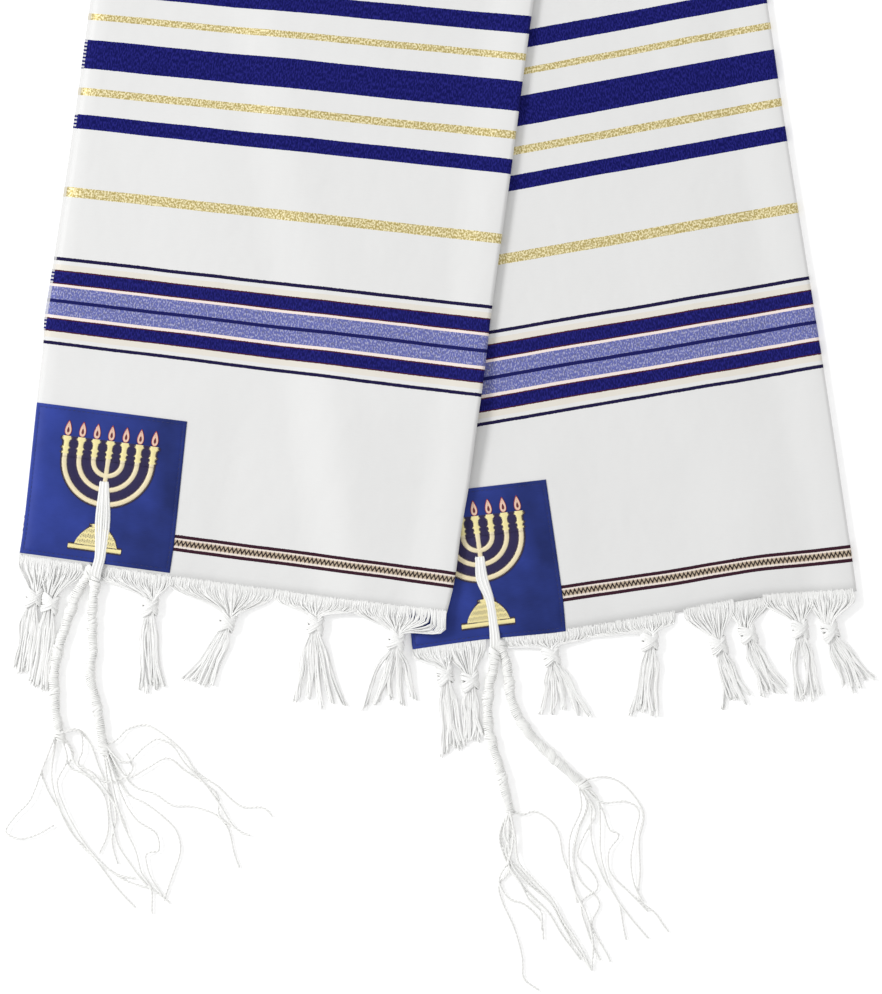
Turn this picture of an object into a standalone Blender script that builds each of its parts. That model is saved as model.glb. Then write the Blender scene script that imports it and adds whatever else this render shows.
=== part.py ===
"""A tallit prayer shawl, laid out flat as two arms that meet at the neck fold.

The cloth is doubled lengthwise, so each arm has two layers, a crease on its right side and its
selvedges on the left. At the neck the doubled cloth rolls over and comes back, so one arm lies
on the other. Plan positions are in millimetres, with +Y towards the neck and +Z up; the
meshes are in metres.
"""
import math

import bmesh
import bpy
from mathutils import Vector

MM = 0.001
# Moves the plan so that the origin is at the middle of the whole outline, on the floor
PLAN_SHIFT = (1.0, -3.0, 0.0)

# Cloth sizes, in millimetres
CLOTH_WALL = 1.2
LAYER_GAP = 0.6
SEAM_GAP = 0.3
PATCH_WALL = 1.0
PATCH_WIDTH = 98.0
PATCH_LENGTH = 100.0
DOUBLED = 2 * CLOTH_WALL + LAYER_GAP
PATCH_RISE = PATCH_WALL + SEAM_GAP
CREASE_PUFF = 2.4
NECK_CREASE_PUFF = 0.4
CREASE_REACH = 32.0
CREASE_FLAT = 6.0
CREASE_SHOULDER = 14.0
ARM_LENGTH = 880.0
NECK_INNER_RADIUS = 4.0
NECK_AXIS_HEIGHT = DOUBLED + NECK_INNER_RADIUS
NECK_AXIS_Y = 565.3
NECK_RISE_START = 740.0

# Edges sharper than this stay sharp in the shading
SHARP_ANGLE = math.radians(50.0)

# Columns across an arm, in millimetres from the selvedge, up to the start of the crease
COLUMNS = (0.0, 33.0, 66.0, PATCH_WIDTH, 132.0, 170.0, 208.0)
CREASE_ANGLES = (-54.0, -18.0, 18.0, 54.0)
# Stations along an arm, in millimetres from the hem
STATIONS = (0.0, 33.0, 66.0, PATCH_LENGTH, 140.0, 190.0, 240.0, 295.0, 350.0, 410.0, 470.0,
            530.0, 590.0, 650.0, 700.0, 750.0, 795.0, 840.0, ARM_LENGTH)
NECK_ANGLES = (-66.0, -44.0, -22.0, -2.4)

# Rows of each arm: distance from the hem, then the plan ends at the selvedge and at the crease
UPPER_ROWS = (
    # along, selvedge x, selvedge y, crease x, crease y
    (0.0, -267.7, -292.8, 1.0, -327.8),
    (21.0, -264.5, -271.2, 4.1, -306.8),
    (140.0, -251.8, -155.3, 26.4, -189.7),
    (194.5, -243.5, -102.2, 33.4, -133.7),
    (282.5, -230.8, -15.3, 45.8, -44.6),
    (371.5, -219.0, 70.7, 57.6, 45.2),
    (540.0, -195.8, 229.2, 81.2, 210.7),
    (700.0, -172.8, 387.1, 104.7, 377.5),
    (ARM_LENGTH, -153.1, NECK_AXIS_Y, 130.2, NECK_AXIS_Y),
)
LOWER_ROWS = (
    # along, selvedge x, selvedge y, crease x, crease y
    (0.0, -17.5, -351.4, 265.1, -311.9),
    (21.0, -19.4, -330.4, 262.0, -289.3),
    (140.0, -35.3, -218.4, 244.1, -170.9),
    (194.5, -41.7, -161.7, 235.2, -114.9),
    (282.5, -56.3, -73.2, 220.6, -23.2),
    (371.5, -69.1, 14.6, 207.8, 64.9),
    (540.0, -92.6, 183.3, 183.7, 220.3),
    (700.0, -117.5, 348.9, 159.5, 374.3),
    (ARM_LENGTH, -153.1, NECK_AXIS_Y, 130.2, NECK_AXIS_Y),
)

# Soft ridges of the top layer where the cloth doesn't lie quite flat
UPPER_RIDGES = (
    # across, along, half width, half length, height
    (185.0, 70.0, 70.0, 80.0, 1.8),
    (110.0, 250.0, 80.0, 110.0, 1.5),
    (180.0, 430.0, 80.0, 120.0, 2.0),
    (90.0, 620.0, 80.0, 110.0, 1.8),
)
LOWER_RIDGES = (
    # across, along, half width, half length, height
    (225.0, 45.0, 50.0, 70.0, 2.2),
    (215.0, 200.0, 55.0, 90.0, 1.6),
    (235.0, 380.0, 45.0, 110.0, 1.8),
)

# The upper arm rises over the lower one: where the rise ends, and its length
SUPPORT_MARGIN = 0.1
SUPPORT_LEAD = 25.0
SUPPORT_RAMP = 38.0
PATCH_SUPPORT_TOP = -150.0
PATCH_SUPPORT_RAMP = 55.0

# Fringe bundles of the knotted hem
KNOT_STATIONS = (
    # along the bundle, half width, half height
    (-5.0, 2.8, 2.1),
    (-1.8, 4.0, 3.1),
    (2.2, 3.8, 3.0),
    (5.2, 2.8, 2.0),
)
FRINGE_LOCKS = 5
FRINGE_ROOT_GAP = 0.7
FLOOR_GAP = 0.4
LOCK_HALF_HEIGHT = 0.8
LOCK_FILL = 0.34
ROOT_PARTS = (0.4, 0.75, 1.0)
TIP_PARTS = (0.3, 0.65, 1.0)
# How far a lock runs straight from its knot and into its end, as a share of its length
LOCK_BEND = (0.45, 0.6)
# Share of a knot's or cord's half width that its rows of cells cover
CELL_SPAN = 0.93
TIP_STAGGER = (0.0, 2.2, -1.6, 2.6, -0.8)
UPPER_FRINGE = (
    # name, layer, root start, root end, knot along, knot out, knot height, tips from (along, out) to
    ("fringe_upper_1", "top", 0.4, 15.6, 12.5, 23.7, 3.6, (8.0, 73.0), (15.0, 76.0)),
    ("fringe_upper_2", "top", 17.0, 36.6, 23.6, 26.3, 3.6, (20.2, 79.0), (25.6, 81.0)),
    ("fringe_upper_3", "top", 55.6, 94.0, 86.7, 19.6, 3.6, (89.0, 74.0), (99.5, 71.5)),
    ("fringe_upper_4", "top", 103.0, 160.0, 136.6, 23.4, 3.6, (117.0, 62.0), (130.0, 65.5)),
    ("fringe_upper_5", "top", 169.0, 214.0, 192.3, 17.4, 3.6, (187.0, 67.0), (218.0, 70.0)),
    ("fringe_upper_6", "top", 219.4, 266.0, 244.7, 20.8, 7.4, (229.0, 66.0), (262.0, 58.0)),
)
LOWER_FRINGE = (
    # name, layer, root start, root end, knot along, knot out, knot height, tips from (along, out) to
    ("fringe_lower_1", "top", 0.8, 21.2, 18.5, 18.5, 3.6, (12.5, 68.5), (22.5, 68.0)),
    ("fringe_lower_2", "top", 24.2, 43.6, 34.0, 24.4, 3.6, (27.5, 65.0), (34.0, 62.5)),
    ("fringe_lower_3", "top", 62.0, 110.4, 87.1, 16.0, 3.6, (76.0, 50.0), (107.0, 58.5)),
    ("fringe_lower_4", "top", 113.2, 164.8, 150.3, 15.2, 3.6, (134.0, 61.0), (147.0, 60.5)),
    ("fringe_lower_5", "top", 178.6, 203.0, 193.5, 24.0, 3.6, (193.0, 63.5), (208.0, 61.5)),
    ("fringe_lower_6", "under", 205.6, 226.4, 213.0, 19.7, 3.6, (219.0, 62.0), (231.0, 58.5)),
    ("fringe_lower_7", "top", 230.0, 254.6, 246.0, 21.2, 3.6, (238.5, 64.5), (251.0, 65.5)),
    ("fringe_lower_8", "top", 257.4, 281.6, 265.0, 24.5, 3.6, (271.0, 64.0), (287.0, 59.6)),
)

# Wound cords of the four corners, and the loose strings below them
CORD_RADIUS = 3.2
CORD_KNOT_RADIUS = 4.0
CORD_FLATNESS = 0.8
CORD_KNOT_PITCH = 27.0
CORD_FLARE = 5.4
CORD_FLARE_LENGTH = 15.0
CORD_FLAT_HALF = 1.0
CORD_SETTLE_LENGTH = 30.0
CORD_STRINGS = 8
CORD_SPACING = 12.0
STRING_HALF = 0.7
STRING_STEPS = 6
STRING_BEND = (0.9, 0.9)
# Strings that lie on the corner piece: which cells they leave, their size and how they spread
DRAWN_STRINGS = (0, 2, 5, 7)
DRAWN_HALF = 0.65
DRAWN_CLEARANCE = 0.1
DRAWN_LANE = 1.9
DRAWN_LANE_DRAW_IN = 0.15
CORNER_CORDS = (
    # name, arm, start height, route, string from the patch eyelet, tips of the loose strings, sway
    ("tzitzit_upper_front", "upper", 4.6,
     ((-218.6, -307.5), (-219.6, -315.2), (-221.2, -332.3), (-220.6, -352.7), (-222.5, -365.4),
      (-218.7, -383.2), (-213.6, -414.4)),
     ((-218.0, -301.4), (-216.6, -292.0), (-214.9, -268.6), (-212.9, -245.1)),
     ((-208.5, -511.8), (-195.8, -515.6), (-184.3, -505.5), (-171.6, -495.3), (-155.0, -486.4),
      (-134.1, -482.2), (-119.4, -468.6), (-106.6, -456.9)), 7.0),
    ("tzitzit_upper_back", "upper", 2.4,
     ((-226.4, -299.1), (-232.0, -317.0), (-236.5, -332.3), (-241.6, -348.2), (-244.6, -362.9),
      (-244.8, -383.2), (-241.6, -406.8)),
     (),
     ((-277.0, -466.0), (-265.0, -468.9), (-254.5, -473.8), (-245.6, -482.0), (-237.7, -490.9),
      (-230.0, -498.8), (-224.0, -504.5), (-219.6, -496.8)), -4.0),
    ("tzitzit_lower_front", "lower", 4.6,
     ((32.9, -353.6), (34.2, -360.7), (31.2, -376.9), (31.5, -402.3), (38.5, -427.8),
      (45.5, -456.4)),
     ((32.5, -347.2), (31.6, -337.0), (29.6, -319.6), (26.4, -292.8)),
     ((42.3, -511.8), (50.5, -546.2), (60.4, -566.6), (70.3, -560.4), (79.5, -556.9),
      (85.2, -545.0), (87.9, -527.7), (86.6, -500.4)), 5.0),
    ("tzitzit_lower_back", "lower", 2.4,
     ((39.1, -344.6), (42.6, -360.5), (46.6, -385.8), (57.6, -404.9), (74.2, -421.4),
      (91.4, -437.3)),
     (),
     ((95.8, -545.5), (102.2, -554.4), (111.1, -550.0), (120.0, -546.2), (127.6, -540.4),
      (137.8, -534.6), (146.7, -526.2), (148.4, -508.6)), 5.0),
)


def clear_scene():
    """Remove the objects that a new file starts with."""
    for item in list(bpy.data.objects):
        bpy.data.objects.remove(item, do_unlink=True)


def make_material(name, colour, roughness):
    """A plain dyed-cloth material."""
    material = bpy.data.materials.new(name)
    material.use_nodes = True
    shader = material.node_tree.nodes["Principled BSDF"]
    shader.inputs["Base Color"].default_value = (*colour, 1.0)
    shader.inputs["Roughness"].default_value = roughness
    shader.inputs["Metallic"].default_value = 0.0
    return material


def add_object(name, verts, faces, material):
    """One closed object from plan points in millimetres, its faces turned outwards."""
    mesh = bpy.data.meshes.new(name)
    placed = [tuple((c + shift) * MM for c, shift in zip(v, PLAN_SHIFT)) for v in verts]
    mesh.from_pydata(placed, [], faces)
    shape = bmesh.new()
    shape.from_mesh(mesh)
    bmesh.ops.recalc_face_normals(shape, faces=shape.faces)
    shape.to_mesh(mesh)
    shape.free()
    mesh.materials.append(material)
    mesh.shade_smooth()
    mesh.set_sharp_from_angle(angle=SHARP_ANGLE)
    item = bpy.data.objects.new(name, mesh)
    bpy.context.scene.collection.objects.link(item)
    return item


def ease(value):
    """Smooth step from 0 to 1."""
    value = min(1.0, max(0.0, value))
    return value * value * (3.0 - 2.0 * value)


def curve_through(table, key):
    """Smooth value of every column of a table whose first column is the key."""
    last = len(table) - 1
    index = next((i for i in range(last - 1) if key < table[i + 1][0]), last - 1)
    start, end = table[index], table[index + 1]
    span = end[0] - start[0]
    part = (key - start[0]) / span
    before = table[index - 1] if index > 0 else start
    after = table[index + 2] if index + 2 <= last else end
    values = []
    for column in range(1, len(start)):
        slope_in = (end[column] - before[column]) / (end[0] - before[0])
        slope_out = (after[column] - start[column]) / (after[0] - start[0])
        values.append(
            start[column] * (2 * part ** 3 - 3 * part ** 2 + 1)
            + end[column] * (3 * part ** 2 - 2 * part ** 3)
            + slope_in * span * (part ** 3 - 2 * part ** 2 + part)
            + slope_out * span * (part ** 3 - part ** 2))
    return values


def soft_ridges(table, across, along):
    """Height that the ridges add to the top layer."""
    height = 0.0
    for ridge_across, ridge_along, half_width, half_length, ridge_height in table:
        reach = math.hypot((across - ridge_across) / half_width, (along - ridge_along) / half_length)
        if reach < 1.0:
            height += ridge_height * math.cos(0.5 * math.pi * reach) ** 2
    return height


def corner_lift(across, along):
    """Height of the cloth over the corner piece that lies under it."""
    sideways = 1.0 - ease((across - PATCH_WIDTH) / (COLUMNS[4] - PATCH_WIDTH))
    lengthways = 1.0 - ease((along - PATCH_LENGTH) / (STATIONS[4] - PATCH_LENGTH))
    return PATCH_RISE * sideways * lengthways


def lower_selvedge_x(y):
    """Plan x of the lower arm's selvedge at a plan y."""
    row = next((i for i in range(len(LOWER_ROWS) - 2) if y < LOWER_ROWS[i + 1][2]), len(LOWER_ROWS) - 2)
    first, second = LOWER_ROWS[row], LOWER_ROWS[row + 1]
    part = min(1.0, max(0.0, (y - first[2]) / (second[2] - first[2])))
    return first[1] + part * (second[1] - first[1])


def support_height(x, y):
    """Height at which the upper arm lies: on the floor, or on the lower arm and its corner piece."""
    over = x - lower_selvedge_x(y)
    sideways = ease((over + SUPPORT_LEAD + SUPPORT_RAMP) / SUPPORT_RAMP)
    corner = 2 * PATCH_RISE * ease((PATCH_SUPPORT_TOP - y) / PATCH_SUPPORT_RAMP)
    return sideways * (DOUBLED + SEAM_GAP + SUPPORT_MARGIN + corner)


class Arm:
    """One arm of the shawl: plan rows, heights and the doubled section."""

    def __init__(self, name, rows, ridges, is_upper):
        self.name = name
        self.rows = rows
        self.ridges = ridges
        self.is_upper = is_upper

    def ends(self, along):
        """Plan ends of a row, at the selvedge and at the crease."""
        left_x, left_y, right_x, right_y = curve_through(self.rows, along)
        return Vector((left_x, left_y)), Vector((right_x, right_y))

    def width(self, along):
        """Width of the doubled arm at a row."""
        left, right = self.ends(along)
        return (right - left).length

    def plan(self, across, along):
        """Plan point at a distance from the selvedge and from the hem."""
        left, right = self.ends(along)
        return left + (right - left).normalized() * across

    def base(self, across, along):
        """Height of the underside."""
        lift = corner_lift(across, along)
        if not self.is_upper:
            return lift
        point = self.plan(across, along)
        rolled = NECK_AXIS_HEIGHT + NECK_INNER_RADIUS
        support = lift + support_height(point.x, point.y)
        rise = ease((along - NECK_RISE_START) / (ARM_LENGTH - NECK_RISE_START))
        return support + (rolled - support) * rise

    def puff(self, along):
        """How far the crease stands above flat layers; less where the arm rolls over."""
        part = ease((along - NECK_RISE_START) / (ARM_LENGTH - NECK_RISE_START))
        return CREASE_PUFF + (NECK_CREASE_PUFF - CREASE_PUFF) * part

    def opening(self, across, along):
        """Distance between the two layers."""
        width = self.width(along)
        rise = ease((across - (width - CREASE_REACH)) / (CREASE_REACH - CREASE_FLAT))
        return LAYER_GAP + self.puff(along) * rise + soft_ridges(self.ridges, across, along)

    def top(self, across, along):
        """Height of the top layer's upper face."""
        return self.base(across, along) + 2 * CLOTH_WALL + self.opening(across, along)

    def layer_middle(self, layer, across, along):
        """Height of the middle of a layer."""
        if layer == "under":
            return self.base(across, along) + 0.5 * CLOTH_WALL
        return self.top(across, along) - 0.5 * CLOTH_WALL

    def section(self, along):
        """Outer and inner points (across, height) of the doubled wall, from selvedge to selvedge."""
        width = self.width(along)
        radius = 0.5 * (DOUBLED + self.puff(along))
        columns = list(COLUMNS) + [width - CREASE_REACH, width - CREASE_SHOULDER, width - radius]
        under = [(x, self.base(x, along)) for x in columns]
        under_inner = [(x, z + CLOTH_WALL) for x, z in under]
        top = [(x, self.top(x, along)) for x in reversed(columns)]
        top_inner = [(x, z - CLOTH_WALL) for x, z in top]
        middle = 0.5 * (under[-1][1] + top[0][1])
        half = 0.5 * (top[0][1] - under[-1][1])
        outer_turn = []
        inner_turn = []
        for angle in CREASE_ANGLES:
            turn = math.radians(angle)
            outer_turn.append((columns[-1] + radius * math.cos(turn), middle + half * math.sin(turn)))
            inner_turn.append((columns[-1] + (radius - CLOTH_WALL) * math.cos(turn),
                               middle + (half - CLOTH_WALL) * math.sin(turn)))
        return under + outer_turn + top, under_inner + inner_turn + top_inner

    def flat_ring(self, along):
        """A section set upright on its row of the plan."""
        left, right = self.ends(along)
        across_way = (right - left).normalized()

        def place(point):
            spot = left + across_way * point[0]
            return (spot.x, spot.y, point[1])

        outer, inner = self.section(along)
        return [place(p) for p in outer], [place(p) for p in inner]

    def neck_ring(self, angle):
        """The neck row's section, turned about the neck roll's axis."""
        left = self.ends(ARM_LENGTH)[0]
        turn = math.radians(angle)

        def place(point):
            if self.is_upper:
                radius = point[1] - NECK_AXIS_HEIGHT
                height = NECK_AXIS_HEIGHT - radius * math.sin(turn)
            else:
                radius = NECK_AXIS_HEIGHT - point[1]
                height = NECK_AXIS_HEIGHT + radius * math.sin(turn)
            return (left.x + point[0], NECK_AXIS_Y + radius * math.cos(turn), height)

        outer, inner = self.section(ARM_LENGTH)
        return [place(p) for p in outer], [place(p) for p in inner]

    def rings(self):
        """Every ring of the arm's wall, from the hem to the middle of the neck roll."""
        flat = [self.flat_ring(along) for along in STATIONS]
        return flat + [self.neck_ring(angle) for angle in NECK_ANGLES]

    def hem_way(self):
        """Plan directions along the hem and out of it."""
        left, right = self.ends(0.0)
        along_hem = (right - left).normalized()
        return along_hem, Vector((along_hem.y, -along_hem.x))

    def hem_point(self, along_hem, out):
        """Plan point from distances along the hem and out of it."""
        left = self.ends(0.0)[0]
        way, outwards = self.hem_way()
        return left + way * along_hem + outwards * out


def build_wall(name, rings, material):
    """A closed wall through rings that each hold an outer and an inner line of points."""
    count = len(rings[0][0])
    verts = []
    for outer, inner in rings:
        verts.extend(outer)
        verts.extend(inner)

    def outside(ring, index):
        return ring * 2 * count + index

    def inside(ring, index):
        return ring * 2 * count + count + index

    faces = []
    for ring in range(len(rings) - 1):
        for index in range(count - 1):
            faces.append((outside(ring, index), outside(ring, index + 1),
                          outside(ring + 1, index + 1), outside(ring + 1, index)))
            faces.append((inside(ring, index), inside(ring + 1, index),
                          inside(ring + 1, index + 1), inside(ring, index + 1)))
        for index in (0, count - 1):
            faces.append((outside(ring, index), outside(ring + 1, index),
                          inside(ring + 1, index), inside(ring, index)))
    for ring in (0, len(rings) - 1):
        for index in range(count - 1):
            faces.append((outside(ring, index), outside(ring, index + 1),
                          inside(ring, index + 1), inside(ring, index)))
    return add_object(name, verts, faces, material)


def build_patch(name, arm, face, material):
    """A square corner piece, its points moved out from the cloth that it is sewn on."""
    columns = COLUMNS[:4]
    stations = STATIONS[:4]
    rings = []
    for along in stations:
        near = []
        far = []
        for across in columns:
            spot = arm.plan(across, along)
            if face == "top":
                low = arm.top(across, along) + SEAM_GAP
            else:
                low = arm.base(across, along) - SEAM_GAP - PATCH_WALL
            near.append((spot.x, spot.y, low + PATCH_WALL))
            far.append((spot.x, spot.y, low))
        rings.append((near, far))
    return build_wall(name, rings, material)


def strip_ring(centre, way, half_width, half_height, count):
    """Flattened round section whose top and bottom rows pair up into cells for the strands."""
    side = Vector((-way.y, way.x))
    top = []
    bottom = []
    for index in range(count):
        part = CELL_SPAN * (2.0 * index / (count - 1) - 1.0)
        bow = math.sqrt(1.0 - part * part)
        spot = (centre[0] + side.x * part * half_width, centre[1] + side.y * part * half_width)
        top.append((*spot, centre[2] + bow * half_height))
        bottom.append((*spot, centre[2] - bow * half_height))
    return top + bottom


class StrandBody:
    """One closed mesh: a knot or wound cord, with strands grown from the cells of its ends."""

    def __init__(self, rings, cells):
        self.count = cells + 1
        self.verts = [v for ring in rings for v in ring]
        self.faces = []
        size = 2 * self.count
        for ring in range(len(rings) - 1):
            start = ring * size
            loop = list(range(self.count)) + list(range(size - 1, self.count - 1, -1))
            for index in range(size):
                first = start + loop[index]
                second = start + loop[(index + 1) % size]
                self.faces.append((first, second, second + size, first + size))
        self.last = (len(rings) - 1) * size

    def cell(self, at_end, index):
        """Corner numbers of one cell, on the first or the last ring."""
        start = self.last if at_end else 0
        return [start + index, start + index + 1, start + self.count + index + 1,
                start + self.count + index]

    def cap(self, at_end, index):
        """Close a cell that carries no strand."""
        self.faces.append(tuple(self.cell(at_end, index)))

    def grow(self, at_end, index, stations):
        """Grow a strand from a cell through stations (x, y, z, direction, half width, half height)."""
        previous = self.cell(at_end, index)
        first = Vector(self.verts[previous[1]]) - Vector(self.verts[previous[0]])
        for x, y, z, way, half_width, half_height in stations:
            side = Vector((-way.y, way.x))
            if side.x * first.x + side.y * first.y < 0.0:
                side = -side
            start = len(self.verts)
            for across, up in ((-1, 1), (1, 1), (1, -1), (-1, -1)):
                self.verts.append((x + side.x * across * half_width, y + side.y * across * half_width,
                                   z + up * half_height))
            ring = [start + corner for corner in range(4)]
            for corner in range(4):
                following = (corner + 1) % 4
                self.faces.append((previous[corner], previous[following], ring[following],
                                   ring[corner]))
            previous = ring
        self.faces.append(tuple(previous))

    def cell_centre(self, at_end, index):
        """Middle of a cell."""
        corners = [Vector(self.verts[i]) for i in self.cell(at_end, index)]
        return sum(corners, Vector()) / 4.0


def bend(start, start_way, end, end_way, reaches, part):
    """Plan point and direction on a smooth bend between two points."""
    length = (end - start).length
    a, b = start_way * length * reaches[0], end_way * length * reaches[1]
    point = (start * (2 * part ** 3 - 3 * part ** 2 + 1) + a * (part ** 3 - 2 * part ** 2 + part)
             + end * (3 * part ** 2 - 2 * part ** 3) + b * (part ** 3 - part ** 2))
    slope = (start * (6 * part ** 2 - 6 * part) + a * (3 * part ** 2 - 4 * part + 1)
             + end * (6 * part - 6 * part ** 2) + b * (3 * part ** 2 - 2 * part))
    return point, slope.normalized()


def lock_half_width(near_pitch, far_pitch, part, slope, way):
    """Half width that keeps the locks of a fan apart where they run at a slant."""
    pitch = near_pitch + (far_pitch - near_pitch) * ease(part)
    return LOCK_FILL * pitch * abs(slope.dot(way))


def build_fringe(arm, row, material):
    """A fringe bundle: locks fanned under the hem, their knot, and the locks that hang from it."""
    name, layer, root_start, root_end, knot_along, knot_out, knot_height, tip_start, tip_end = row
    knot = arm.hem_point(knot_along, knot_out)
    tips = [arm.hem_point(*tip_start), arm.hem_point(*tip_end)]
    outwards = arm.hem_way()[1]
    way = (outwards + ((tips[0] + tips[1]) * 0.5 - knot).normalized()).normalized()
    rings = []
    for along_knot, half_width, half_height in KNOT_STATIONS:
        spot = knot + way * along_knot
        rings.append(strip_ring((spot.x, spot.y, knot_height), way, half_width, half_height,
                                FRINGE_LOCKS + 1))
    body = StrandBody(rings, FRINGE_LOCKS)
    root_pitch = (root_end - root_start) / FRINGE_LOCKS
    knot_pitch = 2 * KNOT_STATIONS[0][1] / FRINGE_LOCKS
    tip_pitch = (tips[1] - tips[0]).length / (FRINGE_LOCKS - 1)
    side = Vector((-way.y, way.x))
    facing = 1 if side.dot(arm.hem_way()[0]) > 0 else -1
    for index in range(FRINGE_LOCKS):
        place = index if facing > 0 else FRINGE_LOCKS - 1 - index
        root_along = root_start + root_pitch * (place + 0.5)
        root = arm.hem_point(root_along, FRINGE_ROOT_GAP)
        root_height = max(arm.layer_middle(layer, root_along, 0.0), FLOOR_GAP + LOCK_HALF_HEIGHT)
        begin = body.cell_centre(False, index)
        stations = []
        for part in ROOT_PARTS:
            point, slope = bend(begin.xy, -way, root, -outwards, LOCK_BEND, part)
            half_width = lock_half_width(knot_pitch, root_pitch, part, slope, way)
            height = begin.z + (root_height - begin.z) * part
            stations.append((point.x, point.y, height, slope, half_width, LOCK_HALF_HEIGHT))
        body.grow(False, index, stations)
        begin = body.cell_centre(True, index)
        tip = tips[0].lerp(tips[1], place / (FRINGE_LOCKS - 1))
        tip = tip + (tip - knot).normalized() * TIP_STAGGER[place]
        tip_way = (tip - begin.xy).normalized()
        low = FLOOR_GAP + LOCK_HALF_HEIGHT
        stations = []
        for part in TIP_PARTS:
            point, slope = bend(begin.xy, way, tip, tip_way, LOCK_BEND, part)
            half_width = lock_half_width(knot_pitch, tip_pitch, part, slope, way)
            height = low + (begin.z - low) * (1.0 - part) ** 2
            stations.append((point.x, point.y, height, slope, half_width, LOCK_HALF_HEIGHT))
        body.grow(True, index, stations)
    return add_object(name, body.verts, body.faces, material)


def route_points(route, spacing):
    """Points a fixed distance apart, with directions, on a smooth curve through a route."""
    knots = [Vector(p) for p in route]
    lengths = [0.0]
    for first, second in zip(knots, knots[1:]):
        lengths.append(lengths[-1] + (second - first).length)
    table = [(length, p.x, p.y) for length, p in zip(lengths, knots)]
    steps = max(2, round(lengths[-1] / spacing))
    points = []
    for step in range(steps + 1):
        here = lengths[-1] * step / steps
        ahead = Vector(curve_through(table, min(here + 1.0, lengths[-1])))
        behind = Vector(curve_through(table, max(here - 1.0, 0.0)))
        points.append((here, Vector(curve_through(table, here)), (ahead - behind).normalized()))
    return points


def build_corner_cord(arms, row, material):
    """A wound and knotted corner cord with its loose strings, and the strings from its eyelet."""
    name, arm_name, start_height, route, drawn, tips, sway = row
    arm = arms[arm_name]
    rings = []
    points = route_points(route, CORD_SPACING)
    length = points[-1][0]
    for here, spot, way in points:
        swell = math.cos(math.pi * here / CORD_KNOT_PITCH) ** 6
        radius = CORD_RADIUS + (CORD_KNOT_RADIUS - CORD_RADIUS) * swell
        flare = ease((here - length + CORD_FLARE_LENGTH) / CORD_FLARE_LENGTH)
        half_width = radius + (CORD_FLARE - radius) * flare
        half_height = CORD_FLATNESS * radius
        half_height += (CORD_FLAT_HALF - half_height) * flare
        settled = FLOOR_GAP + half_height
        height = settled + max(0.0, start_height - settled) * (1.0 - ease(here / CORD_SETTLE_LENGTH))
        rings.append(strip_ring((spot.x, spot.y, height), way, half_width, half_height,
                                CORD_STRINGS + 1))
    body = StrandBody(rings, CORD_STRINGS)
    way = points[-1][2]
    side = Vector((-way.y, way.x))
    ordered = sorted(tips, key=lambda tip: side.dot((Vector(tip) - points[-1][1]).normalized()))
    for index, tip in enumerate(ordered):
        begin = body.cell_centre(True, index)
        goal = Vector(tip)
        chord = goal - begin.xy
        swing = Vector((-chord.y, chord.x)).normalized() * sway
        low = FLOOR_GAP + STRING_HALF
        stations = []
        for step in range(1, STRING_STEPS + 1):
            part = step / STRING_STEPS
            point, slope = bend(begin.xy, way, goal, chord.normalized(), STRING_BEND, part)
            point = point + swing * math.sin(2 * math.pi * part) * part
            height = low + (begin.z - low) * (1.0 - part) ** 3
            stations.append((point.x, point.y, height, slope, STRING_HALF, STRING_HALF))
        body.grow(True, index, stations)
    for index in range(CORD_STRINGS):
        if drawn and index in DRAWN_STRINGS:
            lane = DRAWN_STRINGS.index(index) - 0.5 * (len(DRAWN_STRINGS) - 1)
            body.grow(False, index, drawn_stations(arm, drawn, points[0], lane))
        else:
            body.cap(False, index)
    return add_object(name, body.verts, body.faces, material)


def drawn_stations(arm, drawn, first, lane):
    """Stations of one string that lies on the corner piece, from the cord up to the eyelet."""
    stations = []
    spots = [Vector(p) for p in drawn]
    previous = first[1]
    left = arm.ends(0.0)[0]
    for number, spot in enumerate(spots):
        way = (spot - previous).normalized()
        side = Vector((-way.y, way.x))
        place = spot - side * lane * (DRAWN_LANE - DRAWN_LANE_DRAW_IN * number)
        across = (spot - left).dot(arm.hem_way()[0])
        height = arm.top(across, 0.0) + PATCH_RISE + SEAM_GAP + STRING_HALF + DRAWN_CLEARANCE
        stations.append((place.x, place.y, height, way, DRAWN_HALF, DRAWN_HALF))
        previous = spot
    return stations


def main():
    """Build the whole shawl."""
    clear_scene()
    cloth = make_material("white_cloth", (0.83, 0.83, 0.81), 0.85)
    satin = make_material("blue_satin", (0.03, 0.05, 0.26), 0.45)
    thread = make_material("white_thread", (0.86, 0.86, 0.84), 0.8)
    upper = Arm("upper", UPPER_ROWS, UPPER_RIDGES, True)
    lower = Arm("lower", LOWER_ROWS, LOWER_RIDGES, False)
    arms = {"upper": upper, "lower": lower}
    build_wall("shawl_lower_arm", lower.rings(), cloth)
    build_wall("shawl_upper_arm", upper.rings(), cloth)
    for arm in (upper, lower):
        build_patch(f"corner_{arm.name}_front", arm, "top", satin)
        build_patch(f"corner_{arm.name}_back", arm, "under", satin)
    for row in UPPER_FRINGE:
        build_fringe(upper, row, thread)
    for row in LOWER_FRINGE:
        build_fringe(lower, row, thread)
    for row in CORNER_CORDS:
        build_corner_cord(arms, row, thread)


main()
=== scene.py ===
"""Looks of a tallit prayer shawl, laid out flat as two arms that meet at the neck fold.

Plan distances are in millimetres, as the cloth was measured, and every mesh is in metres in the
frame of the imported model: +Y towards the neck, +Z up, the floor at zero.
"""
from __future__ import annotations

import logging
import math
import random
from dataclasses import dataclass
from enum import Enum
from typing import NamedTuple

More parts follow.
